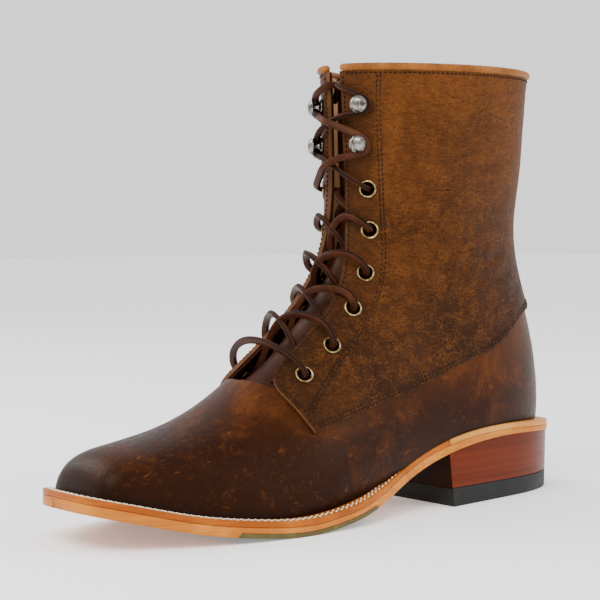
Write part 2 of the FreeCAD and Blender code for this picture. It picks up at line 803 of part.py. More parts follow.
SHANK_HALF = size("shank_width") / 2
shank_points = [
    (size("shank_back"), -SHANK_HALF), (size("shank_back") - 5, 0), (size("shank_back"), SHANK_HALF),
    (115, SHANK_HALF - 1.2), (size("shank_front"), SHANK_HALF), (size("shank_front") + 5, 0),
    (size("shank_front"), -SHANK_HALF), (115, -SHANK_HALF + 1.2)]
shank_side = side_slab("shank", lambda x: outsole_top(x) + 0.6,
                       lambda x: outsole_top(x) + 0.6 + size("shank_thick"))
shank_column = plan_slab("shank", shank_points)
keep(common("shank", shank_side, shank_column), "shank")
slot_points = [(x + math.copysign(0.6, x - 115), y * 1.06) for x, y in shank_points]
slot_column = plan_slab("shank_slot", slot_points)
filler_side = side_slab("filler", lambda x: outsole_top(x) + 0.1, lambda x: welt_top(x) - 0.1)
filler_blank = common("filler_blank", filler_side, filler_column)
keep(cut("cork_filler", filler_blank, slot_column), "cork_filler")

insole_side = side_slab("insole", lambda x: welt_top(x) + 0.1,
                        lambda x: welt_top(x) + 0.1 + size("insole_thick"))
keep(common("insole", insole_side, seat_column), "insole")
sock_low = 0.2 + size("insole_thick")
sock_side = side_slab("sock", lambda x: welt_top(x) + sock_low,
                      lambda x: welt_top(x) + sock_low + size("sock_thick"))
sock_column = plan_slab("sock", feather_plan(size("insole_inset") + 0.8))
keep(common("sock_liner", sock_side, sock_column), "sock_liner")

# Heel: a D in plan, from the breast's outer corner round the back to its inner corner.
HEEL_BOTTOM = [(101, 36.5), (80, 34.6), (58, 32.2), (36, 28.6), (16, 20.5), (5.5, 10.5), (2.2, 0),
               (5.5, -11), (16, -21.5), (36, -29.4), (58, -32), (80, -33.4), (101, -33.8)]
HEEL_TOP = [(101, 33.6), (80, 33.6), (58, 32.5), (36, 29.6), (16, 21.3), (4.5, 10.5), (1, 0),
            (4.5, -11), (16, -22.2), (36, -30.2), (58, -31.7), (80, -31.4), (101, -29.7)]
heel_low = plan_sketch("heel_low", HEEL_BOTTOM, size("heel_cap_thick"), True)
heel_high = plan_sketch("heel_high", HEEL_TOP, 34.0, True)
heel_loft = doc.addObject("Part::Loft", "heel_loft")
heel_loft.Sections = [heel_low, heel_high]
heel_loft.Solid = True
heel_loft.Ruled = True
over_heel = side_slab("over_heel", sole_under, lambda x: sole_under(x) + 30)
heel_shaped = cut("heel_shaped", heel_loft, over_heel)
screw_holes = make_screw_holes("screw_hole", "screw + 0.1",
                               lambda x: sole_under(x) - size("screw_long") - SCREW_AIR,
                               lambda x: sole_under(x) + 20)
keep(cut("heel_block", heel_shaped, screw_holes), "heel_block")

cap_sketch = plan_sketch("cap_plan", HEEL_BOTTOM, 0.0, True)
keep(pulled("heel_cap", cap_sketch, "heel_cap_thick", False), "heel_cap")


def make_heel_screws():
    """Wood screws that hold the heel block, heads let into the outsole."""
    screws = []
    for x, y in SCREWS:
        shaft = doc.addObject("Part::Cylinder", "screw_shaft")
        bind(shaft, "Radius", "screw")
        bind(shaft, "Height", "screw_long")
        shaft.Placement.Base = Vector(x, y, sole_under(x) - size("screw_long") + 0.3)
        head = doc.addObject("Part::Cone", "screw_head")
        bind(head, "Radius1", "screw")
        bind(head, "Radius2", "screw_head")
        head.Height = 1.6
        head.Placement.Base = Vector(x, y, sole_under(x) + 0.3)
        screw = doc.addObject("Part::Fuse", "screw")
        screw.Base, screw.Tool = shaft, head
        screws.append(screw)
    group = doc.addObject("Part::Compound", "heel_screws")
    group.Links = screws
    keep(group, "heel_screws")


make_heel_screws()

# ---------------------------------------------------------------- eyelets and speed hooks
SEAT_IN = quarter_in - air - size("facing_thick")
INSIDE_SAG = 0.5              # the leather's inner face curves away under a flat flange


def turned(name, points):
    """Ring or stud turned about the z axis from a closed outline of (radius, height)."""
    body = doc.addObject("PartDesign::Body", name)
    sketch = body.newObject("Sketcher::SketchObject", name + "_profile")
    plane = [f for f in body.Origin.OriginFeatures if f.Role == "XZ_Plane"][0]
    sketch.AttachmentSupport = [(plane, "")]
    sketch.MapMode = "FlatFace"
    corners = [Vector(r, z, 0) for r, z in points]
    for start, end in zip(corners, corners[1:] + corners[:1]):
        sketch.addGeometry(Part.LineSegment(start, end))
    turn = body.newObject("PartDesign::Revolution", name + "_turn")
    turn.Profile = sketch
    turn.ReferenceAxis = (sketch, ["V_Axis"])
    turn.Angle = 360
    doc.recompute()
    return body


hole, barrel, flange = size("eyelet_hole"), size("eyelet_barrel"), size("eyelet_flange")
rim = size("eyelet_flange_thick")
face = quarter_out + 0.15
eyelet = turned("eyelet_form", [
    (hole, SEAT_IN - INSIDE_SAG - 0.5), (flange - 0.7, SEAT_IN - INSIDE_SAG - 0.4),
    (flange - 0.7, SEAT_IN - INSIDE_SAG), (barrel, SEAT_IN - INSIDE_SAG), (barrel, face),
    (flange, face), (flange - 0.3, face + 0.6 * rim), (flange - 1.1, face + rim),
    (barrel, face + 0.8 * rim), (hole, face + 0.3 * rim)])
neck, dome, base = size("hook_neck"), size("hook_dome"), size("hook_base")
under_dome = face + 0.9 + size("hook_gap")
speed_hook = turned("hook_form", [
    (0, SEAT_IN - INSIDE_SAG - 0.6), (base - 1.2, SEAT_IN - INSIDE_SAG - 0.5),
    (base - 1.2, SEAT_IN - INSIDE_SAG), (barrel, SEAT_IN - INSIDE_SAG), (barrel, face),
    (base, face), (base, face + 0.5), (base - 0.6, face + 0.9), (neck, face + 0.9),
    (neck, under_dome), (dome, under_dome), (dome, under_dome + 0.6),
    (dome - 0.7, under_dome + 1.5), (dome - 2.1, under_dome + 2.2), (0, under_dome + 2.5)])


def make_row(form, rows, side, label):
    """One side's set of identical fasteners."""
    copies = []
    for station, y in rows:
        copy = form.Shape.copy()
        copy.Placement = seat(station, side * y)
        copies.append(copy)
    keep(feature(label, Part.makeCompound(copies)), label)


for side, word in ((LEFT, "left"), (RIGHT, "right")):
    make_row(eyelet, EYELET_ROWS, side, "eyelets_" + word)
    make_row(speed_hook, HOOK_ROWS, side, "speed_hooks_" + word)

# ---------------------------------------------------------------- lace
# Route of the lace as (station, y, height above the upper's outer face).  It starts in the middle
# of the lowest bar and is written for the half that starts towards +Y; a half that starts the
# other way is its mirror image and passes under it wherever they cross.
INSIDE = -4.9
BAR = [(0.356, 6.0, 9.6), (0.358, 17.0, 9.2), (0.364, 25.2, 6.6)]
CROSSING = {True: (2.6, 8.0, 8.6, 6.8), False: (0.0, 3.8, 5.8, 6.0)}
HOOK_CORNER = (0.0135, 3.4)   # station and y from the neck to each corner of the turn round it
HOOK_LEVEL = 4.95
TUCK = [(0.946, 11.5, 6.0), (0.962, 3.6, 4.4), (0.966, 3.2, -3.2), (0.950, 8.5, INSIDE),
        (0.930, 14.0, INSIDE)]


def eyelet_step(row, side, over):
    """From inside one eyelet, up through the throat and down into the next one opposite."""
    (station, _), (up, y) = EYELET_ROWS[row], EYELET_ROWS[row + 1]
    rise = up - station
    low, high, edge, top = CROSSING[over]
    gap = throat_gap(station + 0.3 * rise)
    gap_up = throat_gap(up)
    return [(station + 0.30 * rise, side * (gap + 2.2), INSIDE),
            (station + 0.62 * rise, side * 0.35 * gap, low),
            (station + 0.95 * rise, -side * 0.35 * gap, high),
            (up + 0.20 * rise, -side * (gap_up + 2.8), edge),
            (up + 0.02 * rise, -side * (y + 0.2), top),
            (up, -side * y, INSIDE)]


def last_eyelet_step(side, over):
    """Across the inside from the fifth eyelet, and out through the sixth."""
    (station, _), (up, y) = EYELET_ROWS[-2:]
    rise = up - station
    middle = -1.2 if over else -4.75
    return [(station + 0.24 * rise, side * 9.6, INSIDE + 0.1),
            (station + 0.42 * rise, side * 3.2, middle),
            (station + 0.66 * rise, -side * 3.2, middle),
            (station + 0.86 * rise, -side * 9.6, INSIDE + 0.1),
            (up, -side * y, INSIDE - 0.1),
            (up + 0.002, -side * y, 6.6)]


def hook_step(start, hook, side, over):
    """From one side across the throat, and round the neck of a hook on the other side."""
    station, y = hook
    rise = station - HOOK_CORNER[0] - start
    middle = 8.4 if over else 4.7
    level = 5.6 if over else 5.2
    return [(start + 0.25 * rise, side * 7.5, level + 0.6),
            (start + 0.42 * rise, side * 2.2, middle),
            (start + 0.58 * rise, -side * 2.2, middle),
            (start + 0.78 * rise, -side * 8.0, level),
            (station - HOOK_CORNER[0], -side * (y + HOOK_CORNER[1]), HOOK_LEVEL),
            (station + HOOK_CORNER[0], -side * (y + HOOK_CORNER[1]), HOOK_LEVEL)]


def half_route(side, over):
    route = [(station, side * y, out) for station, y, out in BAR]
    station, y = EYELET_ROWS[0]
    route.append((station, side * y, INSIDE))
    for row in range(len(EYELET_ROWS) - 2):
        route += eyelet_step(row, side, over == (side > 0))
        side = -side
    route += last_eyelet_step(side, over)
    side = -side
    start = EYELET_ROWS[-1][0]
    for hook in HOOK_ROWS:
        route += hook_step(start, hook, side, over)
        side = -side
        start = hook[0] + HOOK_CORNER[0]
    return route + [(station, side * y, out) for station, y, out in TUCK]


def route_point(station, y, out):
    return upper_point(station, angle_at_y(station, y), out)


def rounded_wire(points):
    """Straight runs joined by tangent arcs, and the smallest arc's radius."""
    edges = []
    start = points[0]
    smallest = math.inf
    for before, corner, after in zip(points, points[1:], points[2:]):
        back, ahead = before - corner, after - corner
        turn = math.pi - back.getAngle(ahead)
        cut_off = 0.45 * min(back.Length, ahead.Length)
        smallest = min(smallest, cut_off / math.tan(turn / 2))
        first = corner + back.normalize() * cut_off
        last = corner + ahead.normalize() * cut_off
        bisector = (first + last) * 0.5 - corner
        share = (1 / math.cos(turn / 2) - 1) / (1 / math.cos(turn / 2) - math.cos(turn / 2))
        edges.append(Part.LineSegment(start, first).toShape())
        edges.append(Part.Arc(first, corner + bisector * share, last).toShape())
        start = last
    edges.append(Part.LineSegment(start, points[-1]).toShape())
    return Part.Wire(edges), smallest


def make_lace():
    over, under = half_route(LEFT, True), half_route(RIGHT, False)
    points = [route_point(*place) for place in over[::-1] + under]
    path, smallest = rounded_wire(points)
    first = points[1] - points[0]
    ring = Part.Wire(Part.makeCircle(size("lace"), points[0], first))
    tube = path.makePipeShell([ring], True, False)
    section = math.pi * size("lace") ** 2
    print("lace length", round(path.Length, 1), "smallest radius", round(smallest, 2),
          "volume over section times length", round(tube.Volume / section / path.Length, 4))
    keep(feature("lace", tube), "lace")


make_lace()

# ---------------------------------------------------------------- checks and output
doc.recompute()
for obj in doc.Objects:
    if "Invalid" in obj.State or "Error" in obj.State:
        raise RuntimeError(f"{obj.Label} failed: {obj.State}")
shift = Vector(-size("origin_x"), -size("origin_y"), 0)
os.makedirs("parts", exist_ok=True)
for name, obj in nodes.items():
    shape = obj.Shape.copy()
    if shape.isNull() or not shape.isValid() or not shape.Solids:
        raise RuntimeError(f"{name} has no sound solid")
    print(name, len(shape.Solids), round(shape.Volume, 1))
for name, obj in nodes.items():
    obj.Placement = FreeCAD.Placement(shift, FreeCAD.Rotation()).multiply(obj.Placement)
doc.recompute()
for name, obj in nodes.items():
    obj.Shape.exportStep(f"parts/{name}.step")
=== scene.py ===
import math

import bmesh
import bpy
import numpy as np
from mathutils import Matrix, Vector, noise


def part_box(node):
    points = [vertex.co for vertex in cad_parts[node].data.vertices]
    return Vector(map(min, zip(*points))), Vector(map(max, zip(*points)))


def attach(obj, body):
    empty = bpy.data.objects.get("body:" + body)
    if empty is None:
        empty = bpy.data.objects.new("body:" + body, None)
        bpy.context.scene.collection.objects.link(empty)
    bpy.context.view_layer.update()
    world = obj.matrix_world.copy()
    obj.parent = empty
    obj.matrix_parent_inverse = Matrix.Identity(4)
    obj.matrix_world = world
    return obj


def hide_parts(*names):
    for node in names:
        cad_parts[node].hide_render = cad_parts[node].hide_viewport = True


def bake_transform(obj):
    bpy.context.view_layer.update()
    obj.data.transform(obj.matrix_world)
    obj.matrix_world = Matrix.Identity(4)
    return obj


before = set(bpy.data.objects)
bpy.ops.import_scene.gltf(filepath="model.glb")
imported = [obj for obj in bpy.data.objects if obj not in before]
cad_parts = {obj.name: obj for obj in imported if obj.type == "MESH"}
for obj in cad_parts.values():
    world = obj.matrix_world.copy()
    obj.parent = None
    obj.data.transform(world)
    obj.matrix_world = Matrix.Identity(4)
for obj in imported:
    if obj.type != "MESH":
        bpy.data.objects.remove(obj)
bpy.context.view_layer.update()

SOLE_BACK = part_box("outsole")[0].x
MM = 0.001


def to_frame(points):
    """Millimetres from the back of the sole, as metres in the frame."""
    return np.asarray(points, float) * MM + np.array([SOLE_BACK, 0.0, 0.0])


# ---------------------------------------------------------------- curves through given values
def spline(places, values):
    """Natural cubic spline through values at rising places, straight beyond its ends."""
    places, values = np.asarray(places, float), np.asarray(values, float)
    step = np.diff(places)
    slope = np.diff(values) / step
    last = len(places) - 1
    system, right = np.eye(last + 1), np.zeros(last + 1)
    for i in range(1, last):
        system[i, i - 1:i + 2] = step[i - 1], 2 * (step[i - 1] + step[i]), step[i]
        right[i] = 6 * (slope[i] - slope[i - 1])
    bend = np.linalg.solve(system, right)
    start_slope = slope[0] - step[0] * bend[1] / 6
    end_slope = slope[-1] + step[-1] * bend[-2] / 6

    def at(place):
        place = np.asarray(place, float)
        i = np.clip(np.searchsorted(places, place, side="right") - 1, 0, last - 1)
        inside = np.clip(place, places[0], places[-1])
        b = (inside - places[i]) / step[i]
        a = 1 - b
        curve = ((a ** 3 - a) * bend[i] + (b ** 3 - b) * bend[i + 1]) * step[i] ** 2 / 6
        beyond = np.where(place < places[0], start_slope, end_slope) * (place - inside)
        return a * values[i] + b * values[i + 1] + curve + beyond

    return at


def travel_along(points):
    """Distance from the first point to each point of a line."""
    return np.concatenate([[0], np.cumsum(np.linalg.norm(np.diff(points, axis=0), axis=1))])


def closed_curve(points, count):
    """Evenly spaced places on a smooth closed curve through points, from the first one."""
    points = np.asarray(points, float)
    wrapped = np.concatenate([points, points, points, points[:1]])
    length = travel_along(wrapped)
    axes = [spline(length, wrapped[:, k]) for k in range(points.shape[1])]
    first, last = length[len(points)], length[2 * len(points)]
    fine = np.linspace(first, last, 4 * count + 1)
    trace = np.stack([axis(fine) for axis in axes], 1)
    travel = travel_along(trace)
    places = np.interp(np.linspace(0, travel[-1], count, endpoint=False), travel, fine)
    return np.stack([axis(places) for axis in axes], 1)


# ---------------------------------------------------------------- sole
UNDER_X = [0, 102, 120, 140, 162, 185, 208, 235, 262, 290, 312]
UNDER_Z = [30.5, 26.5, 20.5, 12.8, 6.2, 2.0, 0, 1.8, 5.5, 12, 17.2]
EDGE_HEEL, EDGE_TOE, WELT = 5.6, 7.8, 3.0
sole_under = spline(UNDER_X, UNDER_Z)
sole_edge = spline([0, 60, 110, 160, 312],
                   [EDGE_HEEL + part * (EDGE_TOE - EDGE_HEEL) for part in (0, 0.27, 0.82, 1, 1)])


def welt_top(x):
    return sole_under(x) + sole_edge(x)


def outsole_top(x):
    return welt_top(x) - WELT


# Plan outline of the sole: outer side from toe to heel, then inner side from heel to toe.
SOLE_OUTLINE = [
    (312, 0), (311.4, 11), (309.3, 18.5), (304.5, 26), (295, 32.3), (280, 38.8), (262, 44.6),
    (240, 49.8), (218, 52.5), (195, 52.2), (172, 49.2), (152, 42.8), (135, 37), (118, 34.3),
    (101, 34.4), (80, 34.4), (60, 33.4), (40, 31.3), (22, 25.6), (8, 15.8), (0, 0),
    (8, -16.5), (22, -26.5), (40, -31.8), (60, -33), (80, -32.5), (101, -30.5), (118, -29.5),
    (135, -31), (152, -35), (172, -41.5), (195, -49), (218, -52.5), (240, -50.3), (262, -44.6),
    (280, -38.2), (295, -31.4), (304.5, -25), (309.3, -17.5), (311.4, -10)]

# ---------------------------------------------------------------- outer face of the upper
# Girths of the upper, from the toe to the collar: front point (x, z), back or bottom point
# (x, z), half width on the outer and on the inner side, how egg-shaped and how square it is.
GIRTHS = [
    ((303.6, 15.5), (303.6, 14.5), 13.0, 12.5, 0.00, 0.10),
    ((303.0, 25.0), (303.0, 6.0), 19.0, 18.5, 0.00, 0.10),
    ((300.3, 33.5), (300.3, 2.0), 23.0, 22.0, -0.02, 0.11),
    ((294.5, 39.3), (294.5, -2.0), 26.5, 25.5, -0.03, 0.11),
    ((282.0, 43.2), (282.0, -6.0), 30.3, 29.3, -0.05, 0.10),
    ((263.0, 46.5), (263.0, -10.0), 35.0, 34.5, -0.08, 0.09),
    ((243.0, 52.0), (240.0, -13.0), 40.0, 39.0, -0.11, 0.07),
    ((223.0, 61.5), (212.0, -14.0), 43.0, 42.0, -0.13, 0.05),
    ((202.0, 77.0), (176.0, -12.0), 43.5, 40.5, -0.13, 0.03),
    ((181.0, 95.0), (132.0, -4.0), 39.5, 36.0, -0.08, 0.02),
    ((163.5, 114.0), (70.0, 6.0), 36.5, 35.0, -0.03, 0.01),
    ((152.5, 133.0), (16.0, 22.0), 36.0, 35.0, -0.02, 0.01),
    ((148.0, 152.0), (9.5, 62.0), 35.0, 34.5, 0.03, 0.00),
    ((147.0, 171.0), (17.5, 96.0), 35.0, 34.5, 0.08, 0.00),
    ((147.5, 189.0), (29.5, 131.0), 36.5, 36.0, 0.06, 0.00),
    ((148.0, 206.0), (30.0, 170.0), 39.5, 39.5, -0.02, 0.00),
    ((149.5, 223.5), (28.0, 223.5), 43.0, 43.0, -0.07, 0.00)]

stations = [0.0]
for lower, higher in zip(GIRTHS, GIRTHS[1:]):
    stations.append(stations[-1] + math.dist(lower[0], higher[0]) + math.dist(lower[1], higher[1]))
stations = [station / stations[-1] for station in stations]
columns = np.array([[*front, *back, *rest] for front, back, *rest in GIRTHS]).T
(front_x, front_z, back_x, back_z, outer_half, inner_half, egg_shape,
 square_shape) = [spline(stations, column) for column in columns]


def girth_point(station, angle):
    """Points of the upper's outer face; angle is 0 at the front, pi at the back, and minus on
    the inner side of the foot."""
    station, angle = np.broadcast_arrays(np.asarray(station, float), np.asarray(angle, float))
    depth = (1 - np.cos(angle)) / 2
    half = np.where(angle >= 0, outer_half(station), inner_half(station))
    egg, square = egg_shape(station), square_shape(station)
    around = np.abs(angle)
    reach = np.sin(around) + egg * np.sin(2 * around) + square * np.sin(3 * around)
    fx, fz = front_x(station), front_z(station)
    across = np.copysign(half * reach / (1 - square), angle)
    return np.stack([fx + (back_x(station) - fx) * depth, across,
                     fz + (back_z(station) - fz) * depth], -1)


def unit(vectors):
    return vectors / np.maximum(np.linalg.norm(vectors, axis=-1, keepdims=True), 1e-9)


def outward(station, angle):
    """Unit normals of the upper's outer face."""
    small = 1e-4
    station, angle = np.broadcast_arrays(np.asarray(station, float), np.asarray(angle, float))
    along = girth_point(station + small, angle) - girth_point(station - small, angle)
    side = np.where(angle < 0, -1.0, 1.0)
    first = np.maximum(np.abs(angle) - small, 0.0) * side
    second = (np.abs(angle) + small) * side
    around = (girth_point(station, second) - girth_point(station, first)) * side[..., None]
    return unit(np.cross(around, along))


def chart(x, z):
    """Station and angle of the upper's point seen at (x, z) in the side view."""
    def beside(station):
        fx, fz = front_x(station), front_z(station)
        return (back_x(station) - fx) * (z - fz) - (back_z(station) - fz) * (x - fx)

    ladder = np.linspace(0, 1, 91)
    sides = beside(ladder)
    turns = np.nonzero(sides[:-1] * sides[1:] <= 0)[0]
    first = turns[0] if len(turns) else 0
    station = solve(beside, ladder[first], ladder[first + 1])
    fx, fz = front_x(station), front_z(station)
    run_x, run_z = back_x(station) - fx, back_z(station) - fz
    depth = ((x - fx) * run_x + (z - fz) * run_z) / (run_x ** 2 + run_z ** 2)
    return float(station), float(math.acos(max(-1.0, min(1.0, 1 - 2 * depth))))


def solve(function, low, high):
    """Place between low and high where a function changes sign."""
    low_side = function(low)
    for _ in range(30):
        middle = (low + high) / 2
        if function(middle) * low_side > 0:
            low = middle
        else:
            high = middle
    return (low + high) / 2


# ---------------------------------------------------------------- edges of the leather pieces
def smooth_edge(points):
    """Edge through a list of (station, angle), evenly spaced by length on the boot."""
    points = np.asarray(points, float)
    places = girth_point(points[:, 0], points[:, 1])
    marks = travel_along(places)
    marks = marks / marks[-1]
    station_at, angle_at = spline(marks, points[:, 0]), spline(marks, points[:, 1])
    return lambda part: (station_at(part), angle_at(part))


def feather_edge(lift):
    """Where the upper meets the sole, from the toe to the back of the heel."""
    toe = solve(lambda s: front_z(s) - welt_top(front_x(s)) - lift, 0.0, 0.2)
    heel = solve(lambda s: back_z(s) - welt_top(back_x(s)) - lift, 0.55, 0.8)
    x_toe, x_heel = front_x(toe), back_x(heel)
    points = [(toe, 0.0)]
    samples = 48
    for i in range(1, samples):
        x = x_heel + (x_toe - x_heel) * (1 + math.cos(math.pi * i / samples)) / 2
        points.append(chart(x, welt_top(x) + lift))
    points.append((heel, math.pi))
    return smooth_edge(points)


# The vamp's top edge, hidden under the quarters, and the quarters' lower edge, in side view.
vamp_top = spline([23, 42, 70, 110, 150, 178, 196, 212],
                  [118, 105.5, 92.5, 78.5, 67, 61.5, 64, 69.5])
SEAM = [(194.5, 45.5), (174, 51), (150, 57), (125, 63.5), (90, 74.5), (57, 88), (39, 97.5)]
SEAM_BACK_Z = 107.0
throat_gap = spline([0.33, 0.37, 0.43, 0.51, 0.57, 0.637, 0.678, 0.735, 0.85, 1.0],
                    [16.0, 15.2, 14.8, 14.0, 12.0, 9.0, 7.4, 6.2, 5.2, 4.8])
stay_angle = spline([0.342, 0.391, 0.501, 0.595, 0.686, 0.746, 0.837, 0.932, 1.0],
                    [1.05, 0.94, 0.82, 0.715, 0.63, 0.58, 0.575, 0.59, 0.61])
TAB = [(0.3255, 1.12), (0.3195, 0.85), (0.3165, 0.66), (0.3210, 0.52), (0.3330, 0.44)]
THROAT_LOW = 0.352
BACK_ANGLE = math.pi - 0.004


def throat_angle(station, behind=0.0):
    gap = float(throat_gap(station)) + behind
    return solve(lambda a: girth_point(station, a)[..., 1] - gap, 0.0, 1.2)


def back_station(z):
    return solve(lambda s: back_z(s) - z, 0.55, 1.0)


def angle_at_y(station, y):
    """Signed angle at which the upper's outer face is y from the middle."""
    across = solve(lambda a: abs(girth_point(station, math.copysign(a, y))[1]) - abs(y), 0, 1.35)
    return math.copysign(across, y)


def above_vamp(station, angle, clear):
    point = girth_point(station, angle)
    return point[2] - vamp_top(point[0]) - clear


def vamp_top_edge():
    toe = solve(lambda s: above_vamp(s, 0.0, 0.0), 0.2, 0.4)
    heel = solve(lambda s: above_vamp(s, math.pi, 0.0), 0.6, 0.9)
    points = [(toe, 0.0)]
    for x in np.linspace(front_x(toe) - 5, back_x(heel) + 6, 16):
        points.append(chart(x, vamp_top(x)))
    points.append((heel, math.pi))
    return smooth_edge(points)


def four_sided(bottom, top, front, back):
    """Chart points of a piece with four edges; u runs along bottom and top, v up the others."""
    corners = [bottom(0.0), bottom(1.0), top(0.0), top(1.0)]

    def at(u, v):
        low, high, fore, aft = bottom(u), top(u), front(v), back(v)
        result = []
        for k in range(2):
            flat = ((1 - u) * (1 - v) * corners[0][k] + u * (1 - v) * corners[1][k]
                    + (1 - u) * v * corners[2][k] + u * v * corners[3][k])
            result.append((1 - v) * low[k] + v * high[k] + (1 - u) * fore[k] + u * aft[k] - flat)
        return result
    return at


def edge_up(angle_at, low, high, count=14):
    return smooth_edge([(s, float(angle_at(s))) for s in np.linspace(low, high, count)])


def level_edge(station, first, last, count=12):
    return smooth_edge([(station, angle) for angle in np.linspace(first, last, count)])


def wrap_region(low_edge, high_edge):
    """Region that wraps both sides of the foot: u = 0 and 1 at the back, 0.5 at the toe."""
    def at(u, v):
        turn = 2 * u - 1
        a, b = low_edge(np.abs(turn)), high_edge(np.abs(turn))
        angle = np.minimum(a[1] + (b[1] - a[1]) * v, math.pi - 0.002)
        return a[0] + (b[0] - a[0]) * v, np.copysign(angle, turn)
    return at


FEATHER_LIFT, INNER_LIFT = 0.15, 1.6
feather = feather_edge(FEATHER_LIFT)
vamp_region = wrap_region(feather, vamp_top_edge())
inner_region = wrap_region(feather_edge(INNER_LIFT), vamp_top_edge())
seam_points = [chart(x, z) for x, z in SEAM] + [(back_station(SEAM_BACK_Z), BACK_ANGLE)]
seam_edge = smooth_edge(seam_points)
throat_points = [(s, throat_angle(s)) for s in np.linspace(THROAT_LOW, 1.0, 16)]
front_edge = smooth_edge([seam_points[0]] + TAB + throat_points)
collar_edge = level_edge(1.0, throat_angle(1.0), BACK_ANGLE)
back_edge = edge_up(lambda s: BACK_ANGLE, back_station(SEAM_BACK_Z), 1.0)
quarter_region = four_sided(seam_edge, collar_edge, front_edge, back_edge)
ABOVE_VAMP, LIP = 2.6, 0.6


def over_vamp_edge(first, last):
    x_first, x_last = girth_point(*first)[0], girth_point(*last)[0]
    middle = [chart(x, vamp_top(x) + ABOVE_VAMP) for x in np.linspace(x_first, x_last, 12)[1:-1]]
    return smooth_edge([first] + middle + [last])


def facing_region():
    low = solve(lambda s: above_vamp(s, throat_angle(s, LIP), ABOVE_VAMP), 0.25, 0.5)
    heel = solve(lambda s: above_vamp(s, float(stay_angle(s)), ABOVE_VAMP), 0.25, 0.5)
    return four_sided(
        over_vamp_edge((low, throat_angle(low, LIP)), (heel, float(stay_angle(heel)))),
        level_edge(1.0, throat_angle(1.0, LIP), float(stay_angle(1.0))),
        edge_up(lambda s: throat_angle(s, LIP), low, 1.0),
        edge_up(stay_angle, heel, 1.0))


def shaft_lining_region():
    def behind_stay(station):
        return float(stay_angle(station)) + 0.012
    low = solve(lambda s: above_vamp(s, behind_stay(s), ABOVE_VAMP), 0.25, 0.5)
    back = solve(lambda s: above_vamp(s, BACK_ANGLE, ABOVE_VAMP), 0.55, 0.9)
    return four_sided(
        over_vamp_edge((low, behind_stay(low)), (back, BACK_ANGLE)),
        level_edge(1.0, behind_stay(1.0), BACK_ANGLE),
        edge_up(behind_stay, low, 1.0),
        edge_up(lambda s: BACK_ANGLE, back, 1.0))


# ---------------------------------------------------------------- node materials
class Nodes:
    """Short names for the shader nodes that the finishes are built from."""

    def __init__(self, name):
        self.material = bpy.data.materials.new(name)
        self.material.use_nodes = True
        self.tree = self.material.node_tree
        self.shader = self.tree.nodes["Principled BSDF"]
        self.place = self.tree.nodes.new("ShaderNodeTexCoord").outputs["Object"]

    def put(self, socket, value):
        if isinstance(value, bpy.types.NodeSocket):
            self.tree.links.new(value, socket)
        elif isinstance(value, tuple) and len(value) == 3 and socket.type == "RGBA":
            socket.default_value = (*value, 1.0)
        else:
            socket.default_value = value

    def node(self, kind, inputs, **settings):
        """New node; an input takes a value or another node's output."""
        node = self.tree.nodes.new("ShaderNode" + kind)
        for name, value in settings.items():
            setattr(node, name, value)
        for name, value in inputs.items():
            self.put(node.inputs[name], value)
        return node

    def stretched(self, scale, turn=(0.0, 0.0, 0.0)):
        inputs = {"Vector": self.place, "Rotation": turn, "Scale": scale}
        return self.node("Mapping", inputs).outputs["Vector"]

    def noise(self, scale, detail=4.0, rough=0.55, twist=0.0, where=None):
        inputs = {"Vector": where or self.place, "Scale": scale, "Detail": detail,
                  "Roughness": rough, "Distortion": twist}
        return self.node("TexNoise", inputs).outputs["Fac"]

    def cells(self, scale, feature, where):
        inputs = {"Vector": where, "Scale": scale}
        return self.node("TexVoronoi", inputs, feature=feature).outputs["Distance"]

    def bent(self, scale, amount, where=None):
        """Position pushed about by noise, so that cells lose their straight sides."""
        place = where or self.place
        push = self.node("TexNoise", {"Vector": place, "Scale": scale, "Detail": 3.0})
        inputs = {0: push.outputs["Color"], 1: (amount, amount, amount), 2: place}
        return self.node("VectorMath", inputs, operation="MULTIPLY_ADD").outputs["Vector"]

    def ranged(self, value, low, high, to_low=0.0, to_high=1.0):
        inputs = {"From Min": low, "From Max": high, "To Min": to_low, "To Max": to_high,
                  "Value": value}
        return self.node("MapRange", inputs, interpolation_type="SMOOTHSTEP").outputs["Result"]

    def sums(self, operation, first, second):
        return self.node("Math", {0: first, 1: second}, operation=operation).outputs["Value"]

    def mixed(self, share, first, second):
        node = self.node("Mix", {}, data_type="RGBA")
        self.put(node.inputs["Factor"], share)
        # the colour sockets carry the same names as the number ones, so they are found by type
        for socket, colour in zip([s for s in node.inputs if s.type == "RGBA"], (first, second)):
            self.put(socket, colour)
        return [s for s in node.outputs if s.type == "RGBA"][0]

    def attribute(self, name):
        return self.node("Attribute", {}, attribute_name=name).outputs["Fac"]

    def along(self, axis):
        return self.node("SeparateXYZ", {"Vector": self.place}).outputs[axis]

    def bump(self, height, strength, distance, before=None):
        inputs = {"Strength": strength, "Distance": distance, "Height": height}
        if before is not None:
            inputs["Normal"] = before
        return self.node("Bump", inputs).outputs["Normal"]

    def finish(self, colour, roughness, normal=None, metallic=0.0, coat=0.0, coat_rough=0.2,
               specular=0.5, tint=(1.0, 1.0, 1.0)):
        inputs = {"Base Color": colour, "Roughness": roughness, "Metallic": metallic,
                  "Coat Weight": coat, "Coat Roughness": coat_rough,
                  "Specular IOR Level": specular, "Sheen Weight": 0.0, "Specular Tint": tint}
        if normal is not None:
            inputs["Normal"] = normal
        for name, value in inputs.items():
            self.put(self.shader.inputs[name], value)
        return self.material


WARM = (1.0, 0.72, 0.50)             # tint of the leathers' reflections
LEATHER_SHINE = 0.10


